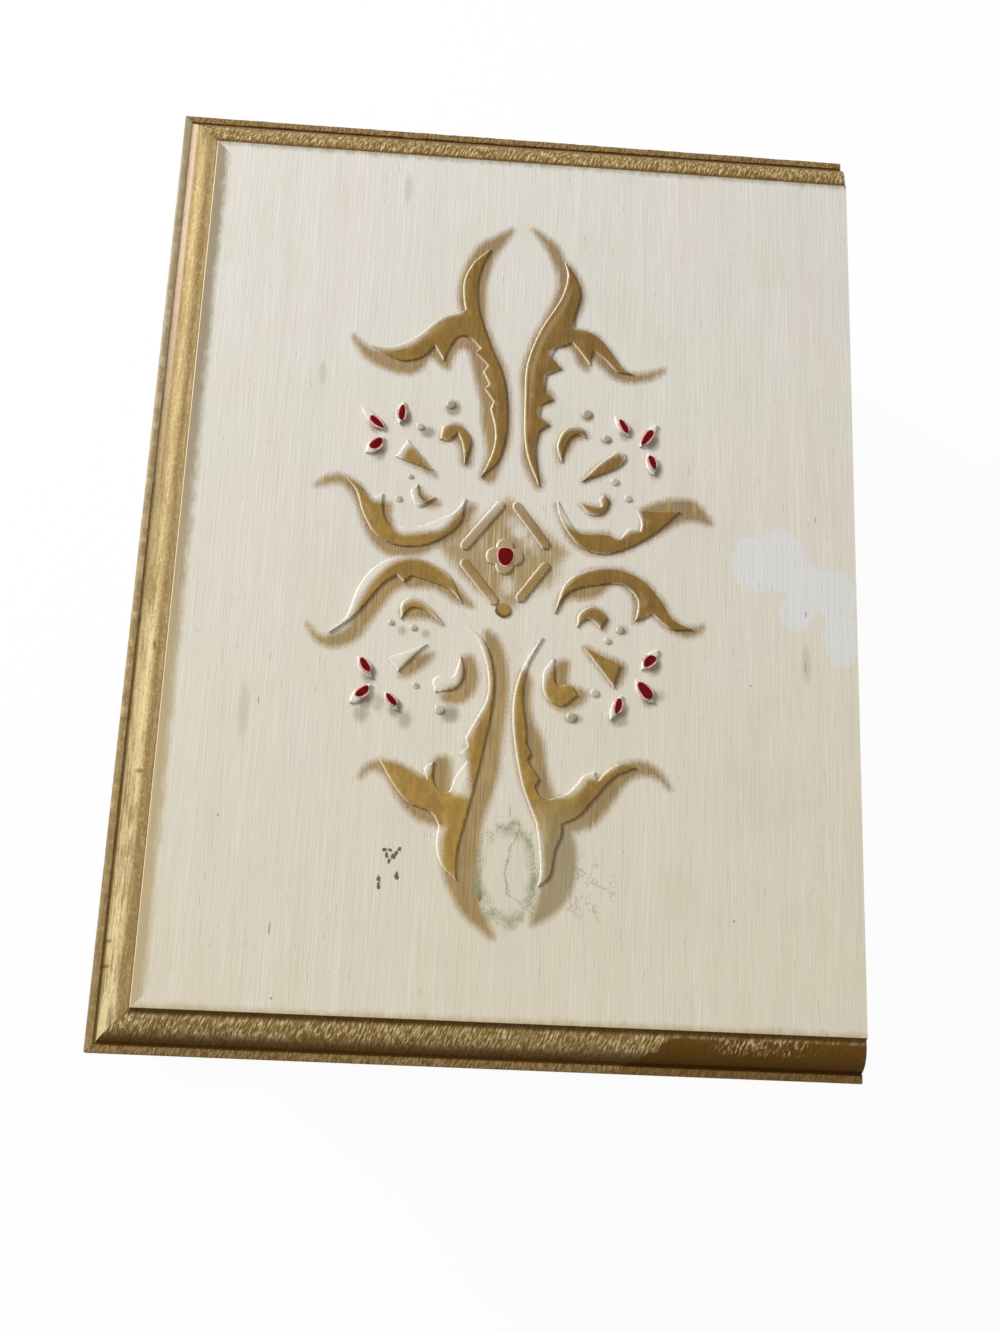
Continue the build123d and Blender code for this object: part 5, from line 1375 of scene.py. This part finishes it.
def felt():
    """Green felt under the base."""
    made, tree, shader = material("green_felt")
    place = millimetres(tree)
    fibres = clouds(tree, place, 1.6, (1, 1, 1), 6, 0.75)
    colour = mix(tree, rise(tree, fibres, 0.35, 0.65), felt_dark, felt_pale)
    connect(tree, shader, Base_Color=colour, Roughness=0.95, Sheen_Weight=0.3,
            Normal=bump(tree, fibres, 0.0002))
    return made


def bare_wood():
    """Unpainted wood with open grain."""
    made, tree, shader = material("bare_wood")
    place = millimetres(tree)
    grain = use(tree, grain_group, {"Place": place})
    colour = mix(tree, rise(tree, grain["Streak"], 0.35, 0.65), pine_pale, pine_dark)
    connect(tree, shader, Base_Color=colour, Roughness=0.7, Normal=bump(tree, grain["Height"], 0.0002))
    return made


def mirror_glass():
    """Silvered glass with a few aged patches."""
    made, tree, shader = material("mirror_glass")
    place = millimetres(tree)
    age = clouds(tree, place, 0.12, (1, 1, 1), 4)
    colour = mix(tree, rise(tree, age, 0.62, 0.8, 0.0, 0.5), glass_clear, glass_aged)
    connect(tree, shader, Base_Color=colour, Metallic=1.0, Roughness=rise(tree, age, 0.5, 0.8, 0.03, 0.12))
    return made


def drip_ochre():
    """A dried drop of ochre paint with a darker rim."""
    made, tree, shader = material("ochre_drip")
    place = millimetres(tree)
    tone = clouds(tree, place, 0.8, (1, 1, 1), 3)
    rim = marks(tree, place, [(drip_centre[1] - 0.6, drip_centre[0] + 0.4, 1.9, 1.9)], 0.12, 0.3, 0.8)
    colour = mix(tree, tone, ochre_dark, ochre_pale)
    colour = mix(tree, less(tree, 1.0, rim), colour, ochre_rim)
    connect(tree, shader, Base_Color=colour, Roughness=0.35, Normal=bump(tree, tone, 0.00008),
            Specular_IOR_Level=0.25)
    return made


# Materials
lid_paint = painted_wood("lid_paint", lid_low, lid_high, True)
base_paint = painted_wood("base_paint", base_low, base_high, False)
long_paint = wall_paint("long_wall_paint", False)
end_paint = wall_paint("end_wall_paint", True)
enamel = red_enamel()
pink = pink_bleed()
brass = aged_brass()
fixings = steel()
lining_velvet = velvet()
base_felt = felt()
softwood = bare_wood()
silvered = mirror_glass()
ochre = drip_ochre()


# Lid board, with a fine grid under its ornament
ornament_x, ornament_y = 98 * mm, 57 * mm
lip_wear = 0.16 * mm
recess_depth = 0.9 * mm
past_edge = 5 * mm
crest_x = lid_high.x - moulding_width
crest_y = lid_low.y + moulding_width
lid_mesh = moulded_board(
    lid_low, lid_high,
    fine_lines(-crest_x, crest_x, -ornament_x, ornament_x, cell, 1.5 * mm),
    fine_lines(crest_y, lid_high.y, -ornament_y, ornament_y, cell, 2 * mm),
)
rough_lips(lid_mesh, lid_low, lid_high, lip_wear)
lid = finished("lid_board_painted", lid_mesh, "lid", lid_paint, "painted_board", "lid_board")
recesses = []
for side in ("left", "right"):
    leaf_low, leaf_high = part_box(f"hinge_lid_leaf_{side}")
    recess_low = Vector((leaf_low.x, leaf_low.y, lid_low.z - past_edge))
    recess_high = Vector((leaf_high.x, lid_high.y + past_edge, lid_low.z + recess_depth))
    recesses.append((recess_low, recess_high, 0.0))
cut_out(lid, recesses)
paint_masks(lid.data)

# Raised ornament
# Beads take half of the painted highlight and shade on their rims
bead_rim_light_share = 0.5
enamel_lift = 0.12 * mm
stems = [stem_left_upper, stem_right_upper, stem_left_lower, stem_right_lower]
leaves = [side_leaf_front_left, side_leaf_back_left, side_leaf_front_right, side_leaf_back_right]
ornament = {
    "stems": [outline_of(shape) for shape in stems],
    "side_leaves": [outline_of(shape) for shape in leaves],
    "scrolls": [outline_of(shape) for shape in scrolls],
    "drops": [outline_of(shape) for shape in drops],
    "beads": [ring((across, along), radius, 18) for across, along, radius in beads],
    "petals": [rounded_lens(*petal) for petal in petals],
    "diamond": [bar_outline(*bar, bar_width) for bar in diamond_bars],
    "flower": [flower_outline()],
}
for title, outlines in ornament.items():
    height = petal_height if title == "petals" else relief_height
    shapes = raised_shapes(outlines, lid_face, height, relief_edge, relief_swell, cell)
    piece = finished(f"ornament_{title}", shapes, "lid", lid_paint, "gold_relief", f"relief_{title}")
    gilding = bar_gilding if title == "diamond" else 0.0
    paint_masks(piece.data, gilding, bead_rim_light_share if title == "beads" else 1.0)

reds = raised_shapes(
    [oval(*red) for red in petal_reds], lid_face + petal_height, enamel_lift + relief_swell,
    0.4 * mm, 0.08 * mm, 2 * mm,
)
finished("petal_enamel", reds, "lid", enamel, "red_paint")
core = raised_shapes(
    [oval(*flower_core)], lid_face + relief_height + relief_swell * 0.6,
    petal_height * 0.45, 0.6 * mm, 0.15 * mm, 2 * mm,
)
finished("flower_core_enamel", core, "lid", enamel, "red_paint", "relief_flower_core")
drip = raised_shapes(
    [ring(drip_centre, drip_radius)], lid_face, relief_height, 0.9 * mm, 0.2 * mm, 2 * mm,
)
finished("paint_drip", drip, "lid", ochre, "gold_relief")

# Halos of thinned red round the enamel, and the board below
bleed = raised_shapes(
    [oval(start, end, width + 1.0) for start, end, width in petal_reds],
    lid_face + petal_height - 0.1 * mm, 0.33 * mm, 0.3 * mm, 0, 2 * mm,
)
finished("petal_bleed", bleed, "lid", pink, "red_paint")
core_bleed = raised_shapes(
    [oval(*flower_core_halo)], lid_face + relief_height,
    petal_height * 0.3, 0.4 * mm, 0, 2 * mm,
)
finished("flower_core_bleed", core_bleed, "lid", pink, "red_paint")

base_cell = 20 * mm
base_mesh = moulded_board(
    base_low, base_high,
    fine_lines(-crest_x, crest_x, -40 * mm, 40 * mm, base_cell, base_cell),
    fine_lines(crest_y, base_high.y, 0, 40 * mm, base_cell, base_cell),
)
rough_lips(base_mesh, base_low, base_high, lip_wear)
finished("base_board_painted", base_mesh, "box", base_paint, "painted_board", "base_board")

# Walls of the box
wall_round = 0.5 * mm
wall_paints = {"front": long_paint, "back": long_paint, "left_end": end_paint, "right_end": end_paint}
for side, paint in wall_paints.items():
    softened(f"wall_{side}", f"carcass_{side}", "box", paint, "painted_board", wall_round)

# Velvet linings, dividers and ring shelf, and the felt under the base
cloth_pitch, felt_pitch = 7 * mm, 12 * mm
lining_round, floor_round, felt_round = 0.4 * mm, 0.5 * mm, 0.3 * mm
divider_round_share = 0.36
lining_dents, divider_dents, felt_dents = 0.12 * mm, 0.2 * mm, 0.1 * mm
linings = {
    "lining_back": ("wall_back", lining_round), "lining_front": ("wall_front", lining_round),
    "lining_left": ("wall_left_end", lining_round), "lining_right": ("wall_right_end", lining_round),
    "lining_floor": ("base_board_painted", floor_round),
}
for node_name, (board, edge_round) in linings.items():
    low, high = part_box(node_name)
    card = finished(
        f"velvet_{node_name}", covered_card(low, high, cloth_pitch, edge_round, lining_dents), "box",
        lining_velvet, "red_velvet", node_name,
    )
for node_name in ("divider_long", "divider_back", "divider_front", "divider_ring", "ring_shelf"):
    low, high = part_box(node_name)
    edge_round = divider_round_share * min(high - low)
    finished(
        f"velvet_{node_name}", covered_card(low, high, cloth_pitch, edge_round, divider_dents), "box",
        lining_velvet, "red_velvet", node_name,
    )
felt_low, felt_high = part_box("felt_base")
felt_sheet = finished(
    "felt_pad", covered_card(felt_low, felt_high, felt_pitch, felt_round, felt_dents), "box",
    base_felt, "base_felt", "felt_base",
)

# Ring rolls: one padded roll, swelled in its velvet, laid side by side with puckered ends
rolls_low, rolls_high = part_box("ring_rolls")
roll_count = 5
roll_radius = (rolls_high.z - rolls_low.z) / 2
roll_pitch = (rolls_high.y - rolls_low.y - 2 * roll_radius) / (roll_count - 1)
roll_length = rolls_high.x - rolls_low.x
core_radius = roll_radius - 0.9 * mm
core_length = roll_length - 1.2 * mm
core_round = 2.5 * mm
roll_voxel, roll_pressure, roll_swell = 1.6 * mm, 4.0, 0.8 * mm
crease_depth, dent_depth = 0.35 * mm, 0.22 * mm
roll_start = bmesh.new()
bmesh.ops.create_cone(roll_start, cap_ends=True, segments=32, radius1=core_radius,
                      radius2=core_radius, depth=core_length)
end_edges = [edge for edge in roll_start.edges if edge.calc_face_angle() > 1]
rounded(roll_start, end_edges, core_round, 4)
bmesh.ops.rotate(roll_start, verts=roll_start.verts, cent=(0, 0, 0),
                 matrix=Matrix.Rotation(math.pi / 2, 3, "Y"))
single = mesh_data("roll", swollen(roll_start, roll_voxel, roll_pressure, roll_swell))
rolls = bmesh.new()
for index in range(roll_count):
    centre = Vector(((rolls_low.x + rolls_high.x) / 2, rolls_low.y + roll_radius + index * roll_pitch,
                     (rolls_low.z + rolls_high.z) / 2))
    known = set(rolls.verts)
    rolls.from_mesh(single)
    for vert in [item for item in rolls.verts if item not in known]:
        angle = math.atan2(vert.co.z, vert.co.y)
        end_share = max(0.0, abs(vert.co.x) / (roll_length / 2) - 0.9) / 0.1
        radius = math.hypot(vert.co.y, vert.co.z)
        crease = crease_depth * end_share * (1 + math.sin(11 * angle + index)) * radius / roll_radius
        dent = dent_depth * (1 + noise.noise(Vector((vert.co.x * 55, angle, index * 3))))
        share = 1 - (crease * 0.5 + dent) / roll_radius
        vert.co.y *= share
        vert.co.z *= share
        vert.co.x -= math.copysign(crease, vert.co.x)
        vert.co += centre
bpy.data.meshes.remove(single)
ring_pad = finished("velvet_ring_rolls", rolls, "box", lining_velvet, "red_velvet", "ring_rolls")

# Padded velvet frame under the lid, and its mirror
frame_low, frame_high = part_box("mirror_surround")
glass_low, glass_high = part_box("mirror")
border = glass_low.x - frame_low.x - 0.3 * mm
padding = frame_high.z - frame_low.z
padding_cuts = 26
padding_dents = 0.2 * mm
near_face = 0.1 * mm
surround_mesh, _ = block(frame_low, frame_high)
surround_mesh.normal_update()
flats = [face for face in surround_mesh.faces if abs(face.normal.z) > 0.9]
bmesh.ops.inset_individual(surround_mesh, faces=flats, thickness=border)
opening = [edge for face in flats for edge in face.edges]
bmesh.ops.delete(surround_mesh, geom=flats, context="FACES_ONLY")
bmesh.ops.bridge_loops(surround_mesh, edges=opening)
soft_edges = [
    edge for edge in surround_mesh.edges
    if any(vert.co.z < frame_high.z - near_face for vert in edge.verts) and edge.calc_face_angle() > 1
]
rounded(surround_mesh, soft_edges, padding * 0.8, 6, clamp=True)
for axis in (0, 1):
    sliced(surround_mesh, axis, [frame_low + (frame_high - frame_low) * step / padding_cuts
                                 for step in range(1, padding_cuts)])
for vert in surround_mesh.verts:
    if vert.co.z < frame_high.z - 0.3 * mm:
        vert.co.z += padding_dents * (1 + noise.noise(vert.co * 90))
bmesh.ops.recalc_face_normals(surround_mesh, faces=surround_mesh.faces[:])
surround = finished(
    "velvet_mirror_surround", surround_mesh, "lid", lining_velvet, "red_velvet", "mirror_surround",
)

bevel_width, bevel_depth = 6 * mm, 0.7 * mm
glass_mesh, _ = block(glass_low, glass_high)
glass_face = [face for face in glass_mesh.faces
              if face.calc_center_median().z < glass_low.z + near_face]
bmesh.ops.inset_region(glass_mesh, faces=glass_face, thickness=bevel_width)
for vert in glass_mesh.verts:
    on_rim = min(vert.co.x - glass_low.x, glass_high.x - vert.co.x,
                 vert.co.y - glass_low.y, glass_high.y - vert.co.y) < near_face
    if on_rim and vert.co.z < glass_low.z + near_face:
        vert.co.z += bevel_depth
finished("mirror_bevelled", glass_mesh, "lid", silvered, "mirror_glass", "mirror")

# Slotted heads of the hinge and bracket screws
slot_width, slot_depth = 0.5 * mm, 0.45 * mm
head_reach, small_head_reach = 2.2 * mm, 2 * mm
first_turn, next_turn = 0.5, 1.3


def slotted(name, node, body, spots, level, head):
    """A copy of countersunk screws with a slot cut in each head."""
    screws = finished(name, merged_copy(node), body, brass, "brass_fittings", node)
    reach = Vector((head, slot_width / 2, slot_depth))
    middles = [Vector((x, y, level)) for x, y in spots]
    cut_out(screws, [(middle - reach, middle + reach, first_turn + next_turn * index)
                     for index, middle in enumerate(middles)])


body_screws_low, body_screws_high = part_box("hinge_body_screws")
pin_low, pin_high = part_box("hinge_pin_right")
hinge_line = (body_screws_low.y + body_screws_high.y) / 2
hinge_middle = (pin_low.x + pin_high.x) / 2
outer = body_screws_high.x - 1.9 * mm
screw_xs = [sign * (hinge_middle + shift) for sign in (-1, 1)
            for shift in (hinge_middle - outer, 0, outer - hinge_middle)]
hinge_spots = [(x, hinge_line) for x in screw_xs]
slotted("slotted_body_screws", "hinge_body_screws", "box", hinge_spots, body_screws_high.z, head_reach)
lid_screws_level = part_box("hinge_lid_screws")[0].z
slotted("slotted_lid_screws", "hinge_lid_screws", "lid", hinge_spots, lid_screws_level, head_reach)
bracket_low, bracket_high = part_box("stay_bracket_screws")
bracket_head = (bracket_high.x - bracket_low.x) / 2
bracket_spots = [((bracket_low.x + bracket_high.x) / 2, y)
                 for y in (bracket_low.y + bracket_head, bracket_high.y - bracket_head)]
slotted("slotted_bracket_screws", "stay_bracket_screws", "lid", bracket_spots, bracket_low.z,
        small_head_reach)

# Pieces whose shape stays as the CAD has it
materials_by_slot = {
    "painted_board": base_paint, "brass_fittings": brass, "steel_fixings": fixings,
    "base_felt": base_felt, "red_velvet": lining_velvet, "bare_wood": softwood,
    "mirror_glass": silvered, "gold_relief": lid_paint, "red_paint": enamel,
}
slots = {item["node"]: item["material_slot"] for item in frame["record"]["subparts"]}
for node_name, part in frame["nodes"].items():
    part.data.materials.clear()
    part.data.materials.append(materials_by_slot[slots[node_name]])

def seen_directly(tree):
    """1 where the camera sees a thing itself, in a mirror or through glass."""
    path = add(tree, "LightPath").outputs
    through = calc(tree, "MAXIMUM", path["Is Glossy Ray"], path["Is Transmission Ray"])
    return calc(tree, "MAXIMUM", path["Is Camera Ray"], through)


# Floor, light and camera
floor_mesh = bmesh.new()
bmesh.ops.create_grid(floor_mesh, x_segments=1, y_segments=1, size=floor_size)
floor_data = mesh_data("floor", floor_mesh)
floor = in_scene("floor", floor_data)
floor_paint, floor_tree, floor_shader = material("floor_paint")
connect(floor_tree, floor_shader, Base_Color=floor_grey, Roughness=0.9)
glow = add(floor_tree, "Emission", {"Color": (1, 1, 1, 1), "Strength": 1.0})
blend = add(floor_tree, "MixShader", {
    0: times(floor_tree, seen_directly(floor_tree), floor_glow),
    1: floor_shader.outputs[0], 2: glow.outputs[0],
})
floor_tree.links.new(blend.outputs[0], floor_tree.nodes["Material Output"].inputs["Surface"])
floor_data.materials.append(floor_paint)

world = bpy.data.worlds.new("studio")
bpy.context.scene.world = world
world.use_nodes = True
sky = world.node_tree
back = sky.nodes["Background"]
sky.links.new(rise(sky, seen_directly(sky), 0.0, 1.0, sky_light, 1.0), back.inputs["Strength"])
back.inputs["Color"].default_value = (1, 1, 1, 1)


def soft_light(name, place, target, size, power):
    """A square soft light that points at a target."""
    data = bpy.data.lights.new(name, "AREA")
    data.size = size
    data.energy = power
    lamp = in_scene(name, data)
    lamp.location = place
    lamp.rotation_euler = (Vector(target) - Vector(place)).to_track_quat("-Z", "Y").to_euler()


soft_light("window", window_place, window_target, window_size, window_power)
soft_light("fill", fill_place, fill_target, fill_size, fill_power)

camera_data = bpy.data.cameras.new("camera")
camera_data.lens = lens
camera_data.sensor_width = sensor_width
camera_data.clip_start = 0.01
camera = in_scene("camera", camera_data)
axes = (camera_right.normalized(), camera_up.normalized(), -camera_forward.normalized())
camera.matrix_world = Matrix.Translation(camera_place) @ Matrix(axes).transposed().to_4x4()
bpy.context.scene.camera = camera
bpy.context.scene.view_settings.view_transform = "Standard"
